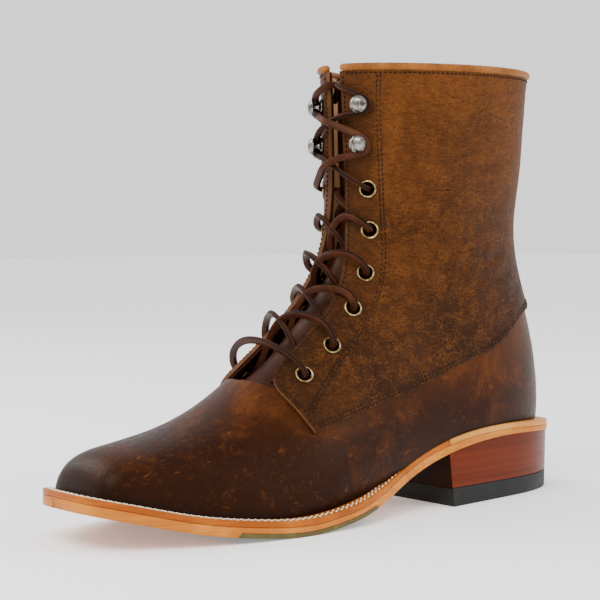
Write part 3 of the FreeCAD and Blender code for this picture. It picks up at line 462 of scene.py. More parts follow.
def vamp_leather():
    """Burnished pull-up leather: nearly black where it is stretched over the toe, warm orange
    where it was rubbed near the seam, with fine scratches."""
    n = Nodes("vamp_leather")
    clouds = n.noise(38, 6, 0.66, 0.5)
    fine = n.noise(300, 5, 0.70, 0.4)
    streak_place = n.stretched((110, 900, 420), (0.0, math.radians(28), 0.0))
    streaks = n.noise(1.0, 4, 0.6, 0.8, streak_place)
    rise = n.attribute("rise")
    heelward = n.ranged(n.along("X"), 0.04, -0.14, 0.0, 0.30)
    worn = n.sums("ADD", n.ranged(clouds, 0.42, 0.72, 0.0, 0.55), n.ranged(rise, 0.35, 1.0, 0, 0.5))
    worn = n.sums("ADD", worn, heelward)
    base = n.mixed(n.ranged(worn, 0.10, 1.15), (0.0150, 0.0030, 0.0008), (0.080, 0.0205, 0.0034))
    base = n.mixed(n.ranged(fine, 0.54, 0.74, 0.0, 0.38), base, (0.110, 0.0320, 0.0060))
    base = n.mixed(n.ranged(fine, 0.46, 0.30, 0.0, 0.45), base, (0.010, 0.0034, 0.0018))
    marks = n.sums("MULTIPLY", n.ranged(streaks, 0.58, 0.72), n.ranged(clouds, 0.40, 0.62))
    base = n.mixed(n.sums("MULTIPLY", marks, 0.42), base, (0.200, 0.0640, 0.0120))
    base = n.mixed(n.ranged(rise, 0.0, 0.13, 0.75, 0.0), base, (0.006, 0.0022, 0.0012))
    gloss = n.ranged(n.sums("ADD", fine, n.sums("MULTIPLY", clouds, 0.6)), 0.5, 1.1, 0.30, 0.50)
    pores = n.cells(1150, "F1", n.bent(420, 0.0011))
    normal = n.bump(n.ranged(pores, 0.05, 0.65), 0.16, 0.00022)
    normal = n.bump(streaks, 0.25, 0.0004, normal)
    normal = n.bump(n.noise(120, 4, 0.6, 0.8), 0.22, 0.0007, normal)
    return n.finish(base, gloss, normal, specular=LEATHER_SHINE, tint=WARM)


def quarter_leather():
    """Waxed pull-up leather with a crackled grain: dark wax broken by fine lighter lines."""
    n = Nodes("quarter_leather")
    clouds = n.noise(26, 5, 0.64, 0.4)
    patches = n.noise(75, 4, 0.6, 0.8)
    fold_place = n.bent(90, 0.010, n.stretched((0.45, 0.8, 1.7), (0.0, math.radians(-20), 0.0)))
    net = n.cells(520, "DISTANCE_TO_EDGE", n.bent(420, 0.0040))
    folds = n.cells(120, "DISTANCE_TO_EDGE", fold_place)
    speck = n.noise(640, 5, 0.75, 0.3)
    dash_place = n.stretched((330, 330, 1150), (0.0, math.radians(-14), 0.0))
    dashes = n.noise(1.0, 5, 0.72, 0.9, dash_place)
    lines = n.ranged(net, 0.20, 0.02)
    broken = n.sums("MULTIPLY", lines, n.ranged(n.noise(150, 5, 0.7, 0.5), 0.42, 0.62))
    creases = n.sums("MULTIPLY", n.ranged(folds, 0.035, 0.0), n.ranged(patches, 0.45, 0.62))
    pale = n.ranged(n.attribute("rise"), 0.05, 1.0, 0.0, 0.62)
    tone = n.sums("ADD", n.ranged(clouds, 0.36, 0.66, 0.0, 0.38), pale)
    tone = n.sums("ADD", tone, n.ranged(patches, 0.42, 0.66, 0.0, 0.08))
    base = n.mixed(n.ranged(tone, 0.0, 1.15), (0.018, 0.0050, 0.0013), (0.098, 0.0300, 0.0060))
    base = n.mixed(n.ranged(speck, 0.54, 0.74, 0.0, 0.22), base, (0.118, 0.0370, 0.0068))
    base = n.mixed(n.ranged(speck, 0.46, 0.30, 0.0, 0.25), base, (0.016, 0.0052, 0.0020))
    base = n.mixed(n.ranged(dashes, 0.50, 0.36, 0.0, 0.60), base, (0.014, 0.0044, 0.0016))
    base = n.mixed(n.ranged(dashes, 0.54, 0.70, 0.0, 0.40), base, (0.190, 0.0620, 0.0110))
    base = n.mixed(n.sums("MULTIPLY", broken, 0.34), base, (0.180, 0.0580, 0.0100))
    base = n.mixed(n.sums("MULTIPLY", creases, 0.75), base, (0.012, 0.0042, 0.0018))
    base = n.mixed(n.ranged(n.attribute("across"), 0.16, 0.06, 0.0, 0.45), base,
                   (0.020, 0.0060, 0.0020))
    gloss = n.ranged(n.sums("ADD", speck, n.sums("MULTIPLY", clouds, 0.7)), 0.5, 1.2, 0.42, 0.62)
    normal = n.bump(n.ranged(net, 0.0, 0.22), 0.20, 0.0003)
    normal = n.bump(n.ranged(folds, 0.0, 0.08), 0.30, 0.0006, normal)
    normal = n.bump(speck, 0.26, 0.0003, normal)
    normal = n.bump(dashes, 0.30, 0.0004, normal)
    return n.finish(base, gloss, normal, specular=LEATHER_SHINE, tint=WARM)


def plain_leather(name, dark, light, rough=(0.38, 0.58), grain=900, relief=0.2, coat=0.0):
    """Smooth leather with a fine grain and a slow change of tone."""
    n = Nodes(name)
    clouds = n.noise(60, 4, 0.6, 0.4)
    fine = n.noise(700, 4, 0.65)
    share = n.sums("ADD", n.ranged(clouds, 0.34, 0.68, 0.0, 0.7), n.ranged(fine, 0.45, 0.7, 0, 0.4))
    base = n.mixed(share, dark, light)
    pores = n.cells(grain, "F1", n.bent(400, 0.001))
    normal = n.bump(n.ranged(pores, 0.0, 0.6), relief, 0.0003)
    return n.finish(base, n.ranged(fine, 0.35, 0.7, *rough), normal, coat=coat,
                    specular=LEATHER_SHINE, tint=WARM)


def cut_edge():
    """Raw cut edge of the upper leather, lighter than its face."""
    n = Nodes("cut_edge")
    fibres = n.noise(900, 3, 0.7)
    return n.finish(n.mixed(fibres, (0.055, 0.018, 0.0045), (0.210, 0.080, 0.0200)), 0.7,
                    n.bump(fibres, 0.3, 0.0002))


def sole_edge_leather(name, dark, light):
    """Waxed edge of natural leather, with faint layers along the sole and worn spots."""
    n = Nodes(name)
    layers = n.noise(1.0, 3, 0.6, 0.2, n.stretched((9, 9, 1400)))
    clouds = n.noise(34, 5, 0.6, 0.5)
    fine = n.noise(820, 4, 0.7)
    share = n.sums("ADD", n.ranged(clouds, 0.35, 0.66, 0.0, 0.65), n.ranged(layers, 0.4, 0.7, 0, 0.35))
    base = n.mixed(share, dark, light)
    base = n.mixed(n.ranged(fine, 0.54, 0.78, 0.0, 0.35), base, tuple(c * 0.55 for c in dark))
    normal = n.bump(fine, 0.2, 0.0002)
    normal = n.bump(layers, 0.10, 0.0003, normal)
    return n.finish(base, n.ranged(fine, 0.35, 0.7, 0.36, 0.54), normal, coat=0.08,
                    coat_rough=0.3, specular=LEATHER_SHINE, tint=WARM)


def heel_leather():
    """Painted and polished leather lifts, with their joints just visible."""
    n = Nodes("heel_leather")
    lifts = n.noise(1.0, 2, 0.5, 0.1, n.stretched((3, 3, 330)))
    fibres = n.noise(1.0, 4, 0.7, 0.3, n.stretched((260, 260, 900)))
    base = n.mixed(n.ranged(lifts, 0.3, 0.7), (0.082, 0.0098, 0.0013), (0.122, 0.0155, 0.0022))
    base = n.mixed(n.ranged(fibres, 0.5, 0.75, 0.0, 0.35), base, (0.074, 0.0115, 0.0028))
    return n.finish(base, n.ranged(fibres, 0.3, 0.7, 0.30, 0.42),
                    n.bump(lifts, 0.05, 0.0003, n.bump(fibres, 0.08, 0.0002)),
                    coat=0.08, coat_rough=0.25, specular=LEATHER_SHINE, tint=WARM)


def rubber(name, dark, light):
    n = Nodes(name)
    fine = n.noise(1200, 4, 0.7)
    scuffs = n.noise(90, 5, 0.7, 0.6)
    base = n.mixed(n.ranged(scuffs, 0.45, 0.75), dark, light)
    return n.finish(base, n.ranged(scuffs, 0.3, 0.7, 0.42, 0.62), n.bump(fine, 0.18, 0.0002),
                    specular=0.2)


def thread(name, dark, light):
    n = Nodes(name)
    twist = n.noise(1500, 3, 0.6, 0.5)
    return n.finish(n.mixed(twist, dark, light), 0.72, n.bump(twist, 0.35, 0.0002),
                    specular=0.1)


def metal(name, dark, light, rough=(0.18, 0.36)):
    """Antiqued metal: brighter where it is rubbed, dull in its hollows."""
    n = Nodes(name)
    tarnish = n.noise(420, 5, 0.65, 0.4)
    scratches = n.noise(2600, 2, 0.5)
    base = n.mixed(n.ranged(tarnish, 0.36, 0.66), dark, light)
    return n.finish(base, n.ranged(tarnish, 0.3, 0.7, rough[1], rough[0]),
                    n.bump(scratches, 0.06, 0.0001), metallic=1.0)


def cork():
    n = Nodes("cork")
    grains = n.cells(420, "F1", n.bent(300, 0.001))
    base = n.mixed(n.ranged(grains, 0.1, 0.7), (0.33, 0.19, 0.09), (0.10, 0.05, 0.025))
    return n.finish(base, 0.85, n.bump(grains, 0.4, 0.0005))


VAMP = vamp_leather()
QUARTER = quarter_leather()
EDGE = cut_edge()
TRIM = plain_leather("trim_leather", (0.012, 0.0045, 0.0025), (0.034, 0.011, 0.005))
BEAD = plain_leather("bead_leather", (0.150, 0.048, 0.0110), (0.300, 0.110, 0.0260),
                     relief=0.12)
TONGUE = plain_leather("tongue_leather", (0.018, 0.0045, 0.0020), (0.040, 0.0105, 0.0040))
LINING = plain_leather("lining_leather", (0.30, 0.16, 0.075), (0.42, 0.25, 0.13), (0.55, 0.75))
LACE = plain_leather("lace_leather", (0.030, 0.0088, 0.0046), (0.066, 0.0195, 0.0090), (0.38, 0.52),
                     grain=1400, relief=0.14)
LACE_EDGE = plain_leather("lace_edge", (0.007, 0.003, 0.002), (0.020, 0.0075, 0.0045), (0.5, 0.7))
STIFFENER = plain_leather("stiffener", (0.40, 0.27, 0.15), (0.50, 0.36, 0.22), (0.6, 0.8))
INSOLE = plain_leather("insole_leather", (0.42, 0.26, 0.13), (0.55, 0.37, 0.21), (0.5, 0.7))
WELT_EDGE = sole_edge_leather("welt_leather", (0.260, 0.056, 0.0045), (0.470, 0.130, 0.0110))
SEAT_EDGE = sole_edge_leather("seat_leather", (0.480, 0.185, 0.034), (0.680, 0.310, 0.075))
SOLE = sole_edge_leather("sole_leather", (0.400, 0.115, 0.0130), (0.640, 0.240, 0.0330))
HEEL = heel_leather()
# Heel breast: painted shade, a near-black colour standing in for the shadow that falls on the breast's
# face
BREAST_PAINTED_SHADE = plain_leather("heel_breast_painted_shade", (0.006, 0.0018, 0.001), (0.016, 0.0040, 0.0018))
BLACK_RUBBER = rubber("black_rubber", (0.006, 0.006, 0.006), (0.020, 0.019, 0.018))
OLIVE_RUBBER = rubber("olive_rubber", (0.085, 0.062, 0.016), (0.150, 0.112, 0.035))
DARK_THREAD = thread("dark_thread", (0.006, 0.003, 0.002), (0.022, 0.011, 0.006))
CREAM_THREAD = thread("cream_thread", (0.52, 0.42, 0.28), (0.78, 0.68, 0.50))
BRASS = metal("brass", (0.150, 0.098, 0.036), (0.520, 0.390, 0.170))
NICKEL = metal("nickel", (0.070, 0.062, 0.055), (0.330, 0.310, 0.285), (0.16, 0.32))
STEEL = metal("shank_steel", (0.30, 0.30, 0.31), (0.55, 0.55, 0.56), (0.3, 0.45))
CORK = cork()


# ---------------------------------------------------------------- mesh making
def face_outward(mesh):
    """Turns every face of a closed mesh outwards."""
    shape = bmesh.new()
    shape.from_mesh(mesh)
    bmesh.ops.recalc_face_normals(shape, faces=shape.faces)
    shape.to_mesh(mesh)
    shape.free()


def placed(name, data):
    """New object of the scene."""
    thing = bpy.data.objects.new(name, data)
    bpy.context.scene.collection.objects.link(thing)
    return thing


def make_piece(name, points, faces, materials, nodes, indices=None, attributes=None,
               body="root"):
    """Mesh object from points in millimetres, riding on a body and standing for CAD nodes."""
    mesh = bpy.data.meshes.new(name)
    mesh.from_pydata(to_frame(points).tolist(), [], [list(face) for face in faces])
    if indices is not None:
        mesh.polygons.foreach_set("material_index", np.asarray(indices, np.int32))
    for key, values in (attributes or {}).items():
        layer = mesh.attributes.new(key, "FLOAT", "POINT")
        layer.data.foreach_set("value", np.asarray(values, np.float32).ravel())
    face_outward(mesh)
    for material in materials:
        mesh.materials.append(material)
    mesh.shade_smooth()
    piece = placed(name, mesh)
    if body:
        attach(piece, body)
    if nodes:
        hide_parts(*nodes)
    return piece


def rounded(piece, width, segments=2, angle=48):
    """Rounds a piece's sharp edges."""
    bevel = piece.modifiers.new("rounded", "BEVEL")
    bevel.width = width * MM
    bevel.segments = segments
    bevel.limit_method = "ANGLE"
    bevel.angle_limit = math.radians(angle)
    bevel.harden_normals = True
    return piece


def grid_faces(columns, rows):
    """Quads of a grid of points kept column by column."""
    return [(i * rows + j, (i + 1) * rows + j, (i + 1) * rows + j + 1, i * rows + j + 1)
            for i in range(columns - 1) for j in range(rows - 1)]


def loft_faces(rings, sides, closed=False):
    """Quads of a skin over rings of points; closed joins the last ring to the first."""
    faces = []
    for i in range(rings if closed else rings - 1):
        for j in range(sides):
            k, n = (j + 1) % sides, (i + 1) % rings
            faces.append((i * sides + j, i * sides + k, n * sides + k, n * sides + j))
    return faces


def end_faces(rings, sides):
    """Flat faces that close such a skin at its first and its last ring."""
    return [tuple(range(sides))[::-1], tuple((rings - 1) * sides + j for j in range(sides))]


def solid_faces(rings, sides):
    """Quads of such a skin and the flat faces at its ends."""
    return loft_faces(rings, sides) + [face[::-1] for face in end_faces(rings, sides)]


def repeated(faces, times, size):
    """The same faces for each of several sets of size points."""
    return [tuple(number * size + corner for corner in face)
            for number in range(times) for face in faces]


def sheet_faces(columns, rows, left_out=None):
    """Faces of a closed sheet made of an outer and an inner grid, and how many of them are on
    the two broad sides.  left_out marks the quads that are holes."""
    broad = grid_faces(columns, rows)
    if left_out is not None:
        broad = [face for face, gone in zip(broad, left_out) if not gone]
    below = columns * rows
    faces = broad + [tuple(below + k for k in face[::-1]) for face in broad]
    count = len(faces)
    open_edges = {}
    for face in broad:
        for a, b in zip(face, face[1:] + face[:1]):
            if (b, a) in open_edges:
                del open_edges[(b, a)]
            else:
                open_edges[(a, b)] = True
    faces += [(b, a, below + a, below + b) for a, b in open_edges]
    return faces, count


def relief(points, size, seed=0.0):
    """Smooth random heights from -1 to 1, with hills about size millimetres across."""
    flat = (np.asarray(points).reshape(-1, 3) / size + seed).tolist()
    return np.array([noise.noise(Vector(p)) for p in flat]).reshape(np.asarray(points).shape[:-1])


PUNCH = 3.4


def open_holes(foot, side):
    """Draws a grid's points onto the edges of the eyelets' holes, and marks the quads inside
    them."""
    columns, rows = foot.shape[:2]
    middles = (foot[:-1, :-1] + foot[1:, :-1] + foot[:-1, 1:] + foot[1:, 1:]) / 4
    inside = np.zeros((columns - 1, rows - 1), bool)
    moved = foot.copy()
    for place, turn in seats(EYELET_ROWS, side):
        flat = (middles - place) @ turn
        hole = (np.hypot(flat[..., 0], flat[..., 1]) < PUNCH) & (np.abs(flat[..., 2]) < 2 * PUNCH)
        inside |= hole
        touched = np.zeros((columns, rows), int)
        for i in (0, 1):
            for j in (0, 1):
                touched[i:columns - 1 + i, j:rows - 1 + j] += hole
        edge = (touched > 0) & (touched < 4)
        away = (foot[edge] - place) @ turn
        reach = np.hypot(away[:, 0], away[:, 1])[:, None]
        away[:, :2] *= PUNCH / np.maximum(reach, 0.1)
        moved[edge] = away @ turn.T + place
    return moved, inside.ravel()


def leather_piece(name, region, columns, rows, outside, inside, materials, nodes=(),
                  side=1, raised=None, body="root", crisp=0.5, holes=False):
    """Leather piece over a chart region, between two heights above the upper's outer face."""
    u, v = np.meshgrid(np.linspace(0, 1, columns), np.linspace(0, 1, rows), indexing="ij")
    station, angle = region(u, v)
    angle = side * angle
    foot, normal = girth_point(station, angle), outward(station, angle)
    left_out = None
    if holes:
        foot, left_out = open_holes(foot, side)
    high = outside(u, v) if callable(outside) else np.full(u.shape, outside)
    low = inside(u, v) if callable(inside) else np.full(u.shape, inside)
    if raised is not None:
        high = high + raised(foot, u, v)
    points = np.concatenate([(foot + normal * high[..., None]).reshape(-1, 3),
                             (foot + normal * low[..., None]).reshape(-1, 3)])
    faces, broad = sheet_faces(columns, rows, left_out)
    indices = [0] * broad + [1] * (len(faces) - broad)
    both = {"across": np.concatenate([u.ravel(), u.ravel()]),
            "rise": np.concatenate([v.ravel(), v.ravel()])}
    piece = make_piece(name, points, faces, materials, nodes, indices, both, body)
    return rounded(piece, crisp)


# ---------------------------------------------------------------- upper
# Layers, as heights of their outer and inner faces above the upper's outer face.
LEATHER = 1.8
QUARTER_OUT, QUARTER_IN = 1.95, 0.15
FACING_OUT, FACING_IN = -0.10, -1.50
SHAFT_LINING_OUT, SHAFT_LINING_IN = -0.10, -1.20
VAMP_LINING_OUT, VAMP_LINING_IN = -3.4, -4.5
LINING_CRISP = 0.3                  # width of the rounding on a lining's edges
EYELET_ROWS = [(0.364, 25.0), (0.436, 24.0), (0.527, 21.0), (0.610, 18.5), (0.690, 17.0),
               (0.758, 16.5)]
HOOK_ROWS = [(0.837, 14.5), (0.917, 14.5)]


def seats(rows, side):
    """Place and turn of each fastener, with its axis square to the leather."""
    result = []
    for station, y in rows:
        angle = angle_at_y(station, side * y)
        turn = Vector(outward(station, angle)).to_track_quat("Z", "Y").to_matrix()
        result.append((girth_point(station, angle), np.array(turn)))
    return result


def vamp_relief(points, u, v):
    """Slight waves of lasted leather, fading out towards its lower and upper edges."""
    soft = relief(points, 34, 3.1) * 0.22 + relief(points, 11, 7.7) * 0.07
    return soft * np.sin(np.pi * np.clip(v * 1.15, 0, 1)) ** 0.5


def make_vamp():
    leather_piece("vamp_wrap", vamp_region, 420, 44, 0.0, -LEATHER, [VAMP, EDGE],
                  ["vamp"], raised=vamp_relief)


# Folds of the shaft: each is a gentle groove between two places in the side view, with its depth
# and half width.
FOLDS = [
    ((118, 118), (58, 128), 0.75, 3.4), ((108, 108), (44, 121), 0.65, 3.0),
    ((120, 99), (62, 106), 0.45, 2.8), ((128, 131), (84, 141), 0.50, 3.0),
    ((96, 150), (52, 143), 0.45, 3.2), ((104, 172), (66, 178), 0.55, 2.8),
    ((92, 184), (60, 189), 0.40, 2.2), ((70, 168), (44, 162), 0.40, 2.6),
    ((100, 160), (78, 166), 0.35, 2.2), ((112, 88), (84, 94), 0.35, 2.6),
    ((58, 112), (36, 116), 0.45, 2.4)]


def shaft_relief(points, u, v):
    """Soft folds round the ankle, and the leather's own waves."""
    x, z = points[..., 0], points[..., 2]
    bend = relief(points, 19, 5.3) * 3.0
    height = relief(points, 26, 1.9) * 0.45 + relief(points, 8, 4.4) * 0.10
    for (x0, z0), (x1, z1), depth, half in FOLDS:
        run = np.array([x1 - x0, z1 - z0], float)
        length = np.hypot(*run)
        along = ((x - x0) * run[0] + (z - z0) * run[1]) / length
        across = ((x - x0) * run[1] - (z - z0) * run[0]) / length + bend
        ends = np.clip(along / 14, 0, 1) * np.clip((length - along) / 14, 0, 1)
        height = height - depth * ends * np.exp(-(across / half) ** 2)
        height = height + 0.5 * depth * ends * np.exp(-((across - 2.2 * half) / half) ** 2)
    calm = np.clip(np.minimum(np.minimum(u, 1 - u) / 0.06, np.minimum(v, 1 - v) / 0.05), 0, 1)
    return height * calm * calm * (3 - 2 * calm)


def make_sides():
    for side, word in ((1, "left"), (-1, "right")):
        leather_piece("quarter_" + word + "_leather", quarter_region, 190, 190, QUARTER_OUT,
                      QUARTER_IN, [QUARTER, EDGE], ["quarter_" + word], side,
                      shaft_relief, holes=True)
        leather_piece("facing_" + word + "_leather", facing_region(), 36, 190, FACING_OUT,
                      FACING_IN, [TONGUE, TONGUE], ["facing_" + word], side,
                      crisp=LINING_CRISP, holes=True)
        leather_piece("shaft_lining_" + word, shaft_lining_region(), 70, 70,
                      SHAFT_LINING_OUT, SHAFT_LINING_IN, [LINING, LINING],
                      ["quarter_lining_" + word], side, crisp=LINING_CRISP)


def make_vamp_lining():
    leather_piece("vamp_lining_leather", inner_region, 150, 16, VAMP_LINING_OUT, VAMP_LINING_IN,
                  [LINING, LINING], ["vamp_lining"], crisp=LINING_CRISP)


STRIP_HALF, STRIP_THICK = 2.3, 1.5
STRIP_LOW_Z, STEP_LOW_Z, STEP_HIGH_Z = 38.0, 100.0, 106.6


def make_back_strip():
    """Dark strip down the back seam, over the quarters and, below them, over the vamp."""
    low = back_station(STRIP_LOW_Z)

    def region(u, v):
        station = low + (1.0 - low) * v
        slope = girth_point(station, np.full(v.shape, math.pi - 0.02))[..., 1] / 0.02
        across = (1 - 2 * u) * STRIP_HALF / slope
        return station, np.copysign(math.pi - np.abs(across), across)

    def foot(u, v):
        part = (back_z(low + (1.0 - low) * v) - STEP_LOW_Z) / (STEP_HIGH_Z - STEP_LOW_Z)
        part = np.clip(part, 0, 1)
        return 0.06 + (QUARTER_OUT - 0.01) * part * part * (3 - 2 * part)

    def crown(u, v):
        return foot(u, v) + STRIP_THICK * (0.55 + 0.45 * np.sin(np.pi * u))
    leather_piece("back_strip_leather", region, 11, 150, crown, foot, [TRIM, TRIM],
                  ["back_strip"], crisp=0.35)


def ring_tube(name, centres, outs, ups, profile, materials, nodes):
    """Tube with a closed profile, whose points are (out, up), swept along centres and capped
    with domes at its ends."""
    count, sides = len(centres), len(profile)
    rings = []
    for i in range(count):
        ring = [centres[i] + outs[i] * a + ups[i] * b for a, b in profile]
        rings.append(ring)
    points = np.array(rings).reshape(-1, 3)
    faces = loft_faces(count, sides)
    ends = np.array([np.mean(rings[0], axis=0), np.mean(rings[-1], axis=0)])
    points = np.concatenate([points, ends])
    for j in range(sides):
        k = (j + 1) % sides
        faces.append((count * sides, k, j))
        faces.append((count * sides + 1, (count - 1) * sides + j, (count - 1) * sides + k))
    return make_piece(name, points, faces, materials, nodes)


def make_collar_bead():
    """Rolled leather edge with rounded ends, standing on the quarters' top edges."""
    high, out, inside = 3.9, 3.4, -1.1
    first = throat_angle(1.0)
    turn = np.linspace(1, -1, 260)
    angle = np.copysign(math.pi - (math.pi - first) * np.abs(turn), turn)
    foot, normal = girth_point(1.0, angle), outward(1.0, angle)
    level = unit(normal * np.array([1.0, 1.0, 0.0]))
    middle = foot + level * (out + inside) / 2 + np.array([0, 0, high / 2 - 0.25])
    profile = []
    for k in range(20):
        a = 2 * math.pi * k / 20
        bulge = 0.88
        profile.append((np.sign(math.cos(a)) * abs(math.cos(a)) ** bulge * (out - inside) / 2,
                        np.sign(math.sin(a)) * abs(math.sin(a)) ** bulge * high / 2))
    travel = travel_along(middle)
    near = np.minimum(travel, travel[-1] - travel)
    swell = np.sqrt(np.clip(1 - (1 - np.clip(near / 2.2, 0, 1)) ** 2, 0.02, 1))
    ups = np.array([[0, 0, 1.0]] * len(turn)) * swell[:, None]
    ring_tube("collar_bead_roll", middle, level * swell[:, None], ups, profile, [BEAD],
              ["collar_bead"])


TONGUE_LOW, TONGUE_HIGH = 0.268, 0.985
tongue_half = spline([0.268, 0.33, 0.45, 0.65, 0.985], [15.0, 19.0, 25.0, 24.0, 24.0])
tongue_depth = spline([0.268, 0.30, 0.34, 0.40, 0.50, 0.70, 0.985],
                      [4.6, 5.3, 6.9, 6.9, 6.6, 6.6, 6.6])


def make_tongue():
    ladder = np.linspace(TONGUE_LOW, TONGUE_HIGH, 60)
    edge = spline(ladder, [angle_at_y(s, float(tongue_half(s))) for s in ladder])

    def region(u, v):
        station = TONGUE_LOW + (TONGUE_HIGH - TONGUE_LOW) * v
        return station, (1 - 2 * u) * edge(station)

    def top(u, v):
        return -tongue_depth(TONGUE_LOW + (TONGUE_HIGH - TONGUE_LOW) * v)
    return leather_piece("tongue_leather", region, 40, 110, top, lambda u, v: top(u, v) - LEATHER,
                         [TONGUE, EDGE], ["tongue"], body=None,
                         raised=lambda p, u, v: relief(p, 17, 2.2) * 0.25)


make_vamp()
make_vamp_lining()
make_sides()
make_back_strip()
make_collar_bead()
tongue = make_tongue()
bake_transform(tongue)


# ---------------------------------------------------------------- stitching
STITCH_RINGS = [-1.0, -0.86, -0.5, 0.0, 0.5, 0.86, 1.0]
STITCH_GIRTH = [0.25, 0.72, 0.96, 1.0, 0.96, 0.72, 0.25]


def make_stitches(name, rows, length, radius, material, slant=0.0):
    """One piece with every stitch of some rows; a row is centres, directions and normals."""
    centres = np.concatenate([row[0] for row in rows])
    along = unit(np.concatenate([row[1] for row in rows]))
    normal = unit(np.concatenate([row[2] for row in rows]))
    across = unit(np.cross(normal, along))
    along = unit(along * math.cos(slant) + across * math.sin(slant))
    across = unit(np.cross(normal, along))
    sides = 8
    turns = np.linspace(0, 2 * math.pi, sides, endpoint=False)
    rings = []
    for place, girth in zip(STITCH_RINGS, STITCH_GIRTH):
        centre = centres + along * place * length / 2 - normal * radius * 0.9 * place ** 2
        for turn in turns:
            rings.append(centre + across * math.cos(turn) * radius * girth
                         + normal * math.sin(turn) * radius * girth)
    points = np.stack(rings, 1)
    pattern = loft_faces(len(STITCH_RINGS), sides) + end_faces(len(STITCH_RINGS), sides)
    faces = repeated(pattern, *points.shape[:2])
    return make_piece(name, points.reshape(-1, 3), faces, [material], [])


def spaced(points, normals, pitch):
    """A row's stitches at an even pitch along a line of points."""
    travel = travel_along(points)
    count = max(2, int(travel[-1] / pitch))
    places = (np.arange(count) + 0.5) * travel[-1] / count
    step = 0.3

    def at(values, where):
        return np.stack([np.interp(where, travel, values[:, k]) for k in range(3)], 1)
    return at(points, places), at(points, places + step) - at(points, places - step), \
        at(normals, places)


THREAD_LIFT, UPPER_PITCH, WELT_PITCH = 0.12, 2.5, 3.5


def upper_row(edge, shift, first, last, side):
    """Row of stitches beside an edge of the upper, shifted square to it by some millimetres."""
    station, angle = edge(np.linspace(first, last, 300))
    angle = side * angle
    foot, normal = girth_point(station, angle), outward(station, angle)
    along = unit(np.gradient(foot, axis=0))
    foot = foot + np.cross(normal, along) * shift * side + normal * (QUARTER_OUT + THREAD_LIFT)
    return spaced(foot, normal, UPPER_PITCH)


stay_low = solve(lambda s: girth_point(s, float(stay_angle(s)))[2] - 54.5, 0.3, 0.4)
stay_edge = edge_up(stay_angle, stay_low, 0.992)
# Rows of the upper: the edge, the shift from it, and the part of the edge that the row covers.
UPPER_ROWS = [
    (stay_edge, -0.9, 0.0, 1.0), (stay_edge, 0.9, 0.0, 1.0), (seam_edge, 1.5, 0.012, 0.985),
    (seam_edge, 3.2, 0.012, 0.985), (front_edge, -1.9, 0.01, 0.99), (collar_edge, -1.3, 0.02, 0.98)]
dark_rows = [upper_row(*row, side) for side in (1, -1) for row in UPPER_ROWS]
make_stitches("upper_stitching", dark_rows, 1.9, 0.34, DARK_THREAD)


# ---------------------------------------------------------------- sole pieces
def outline_normals(points):
    along = unit(np.roll(points, -1, axis=0) - np.roll(points, 1, axis=0))
    return np.stack([along[:, 1], -along[:, 0]], 1)


OUTLINE = closed_curve(SOLE_OUTLINE, 720)
if np.sum(OUTLINE[:, 0] * np.roll(OUTLINE[:, 1], -1) - OUTLINE[:, 1] * np.roll(OUTLINE[:, 0], -1)) > 0:
    OUTLINE_OUT = outline_normals(OUTLINE)
else:
    OUTLINE_OUT = -outline_normals(OUTLINE)
HALF = len(OUTLINE) // 2


def side_at(points, normals, x):
    """Places of one side of the outline, listed from the toe to the heel, at given x."""
    order = np.argsort(points[:, 0])
    result = [np.interp(x, points[order, 0], values[order])
              for values in (points[:, 1], normals[:, 0], normals[:, 1])]
    return np.stack([x, result[0]], 1), unit(np.stack(result[1:], 1))


TIP_HALF = 0.2                      # half width left at the sole's two tips
ROUND_SHARE = 0.29                  # where a quarter circle's middle lies between its tangents
OUTER_SIDE = (OUTLINE[1:HALF], OUTLINE_OUT[1:HALF])
INNER_SIDE = (OUTLINE[HALF + 1:], OUTLINE_OUT[HALF + 1:])


def soft_edge(soft):
    """Steps up a plate's softened edge: distance in from the edge, level it starts from, rise."""
    part = ROUND_SHARE * soft
    return [(soft, "low", 0.0), (part, "low", part), (0.0, "low", soft),
            (0.0, "high", -soft), (part, "high", -part), (soft, "high", 0.0)]


def sole_slab(name, low, high, x_first, x_last, materials, slot, nodes, soft):
    """Solid plate of the sole between two heights, from one place along the boot to another."""
    part = np.linspace(0, 1, 200)
    x = x_first + (x_last - x_first) * (1 - np.cos(np.pi * part)) / 2
    loops = []
    sections = [side_at(points, normals, x) for points, normals in (OUTER_SIDE, INNER_SIDE)]
    for i in range(len(x)):
        loop = []
        for k, (points, normals) in enumerate(sections):
            point, normal = points[i], normals[i]
            steps = soft_edge(soft)
            if k == 1:
                steps = steps[::-1]
            for back, level, rise in steps:
                spot = point - normal * back
                if abs(spot[1]) < TIP_HALF or spot[1] * point[1] < 0:
                    spot[1] = math.copysign(TIP_HALF, point[1])
                height = (low if level == "low" else high)(spot[0]) + rise
                loop.append((spot[0], spot[1], height))
        loops.append(loop)
    faces = solid_faces(len(loops), len(loops[0]))
    return make_piece(name, np.array(loops).reshape(-1, 3), faces, materials, nodes)


SOLE_ENDS = (311.9, 0.15)
TAP_BACK, TAP_FRONT, TAP_THICK = 160.0, 246.0, 2.2
BREAST = 101.0
PLATE_AIR, END_AIR = 0.05, 0.1


def over_tap(x):
    """Underside of the outsole, which steps up over the rubber tap."""
    return sole_under(x) + (TAP_THICK if TAP_BACK < x < TAP_FRONT else 0.0)


def make_soles():
    """Outsole, stepped up over the tap's place, and the tap let into that step."""
    sole_slab("outsole_plate", over_tap, outsole_top, *SOLE_ENDS, [SOLE], "sole_leather",
              ["outsole"], soft=0.45)
    sole_slab("forefoot_tap_plate", sole_under, lambda x: sole_under(x) + TAP_THICK - PLATE_AIR,
              TAP_FRONT - END_AIR, TAP_BACK + END_AIR, [OLIVE_RUBBER], "olive_rubber", ["forefoot_tap"],
              soft=0.3)


INSOLE_INSET = 6.6


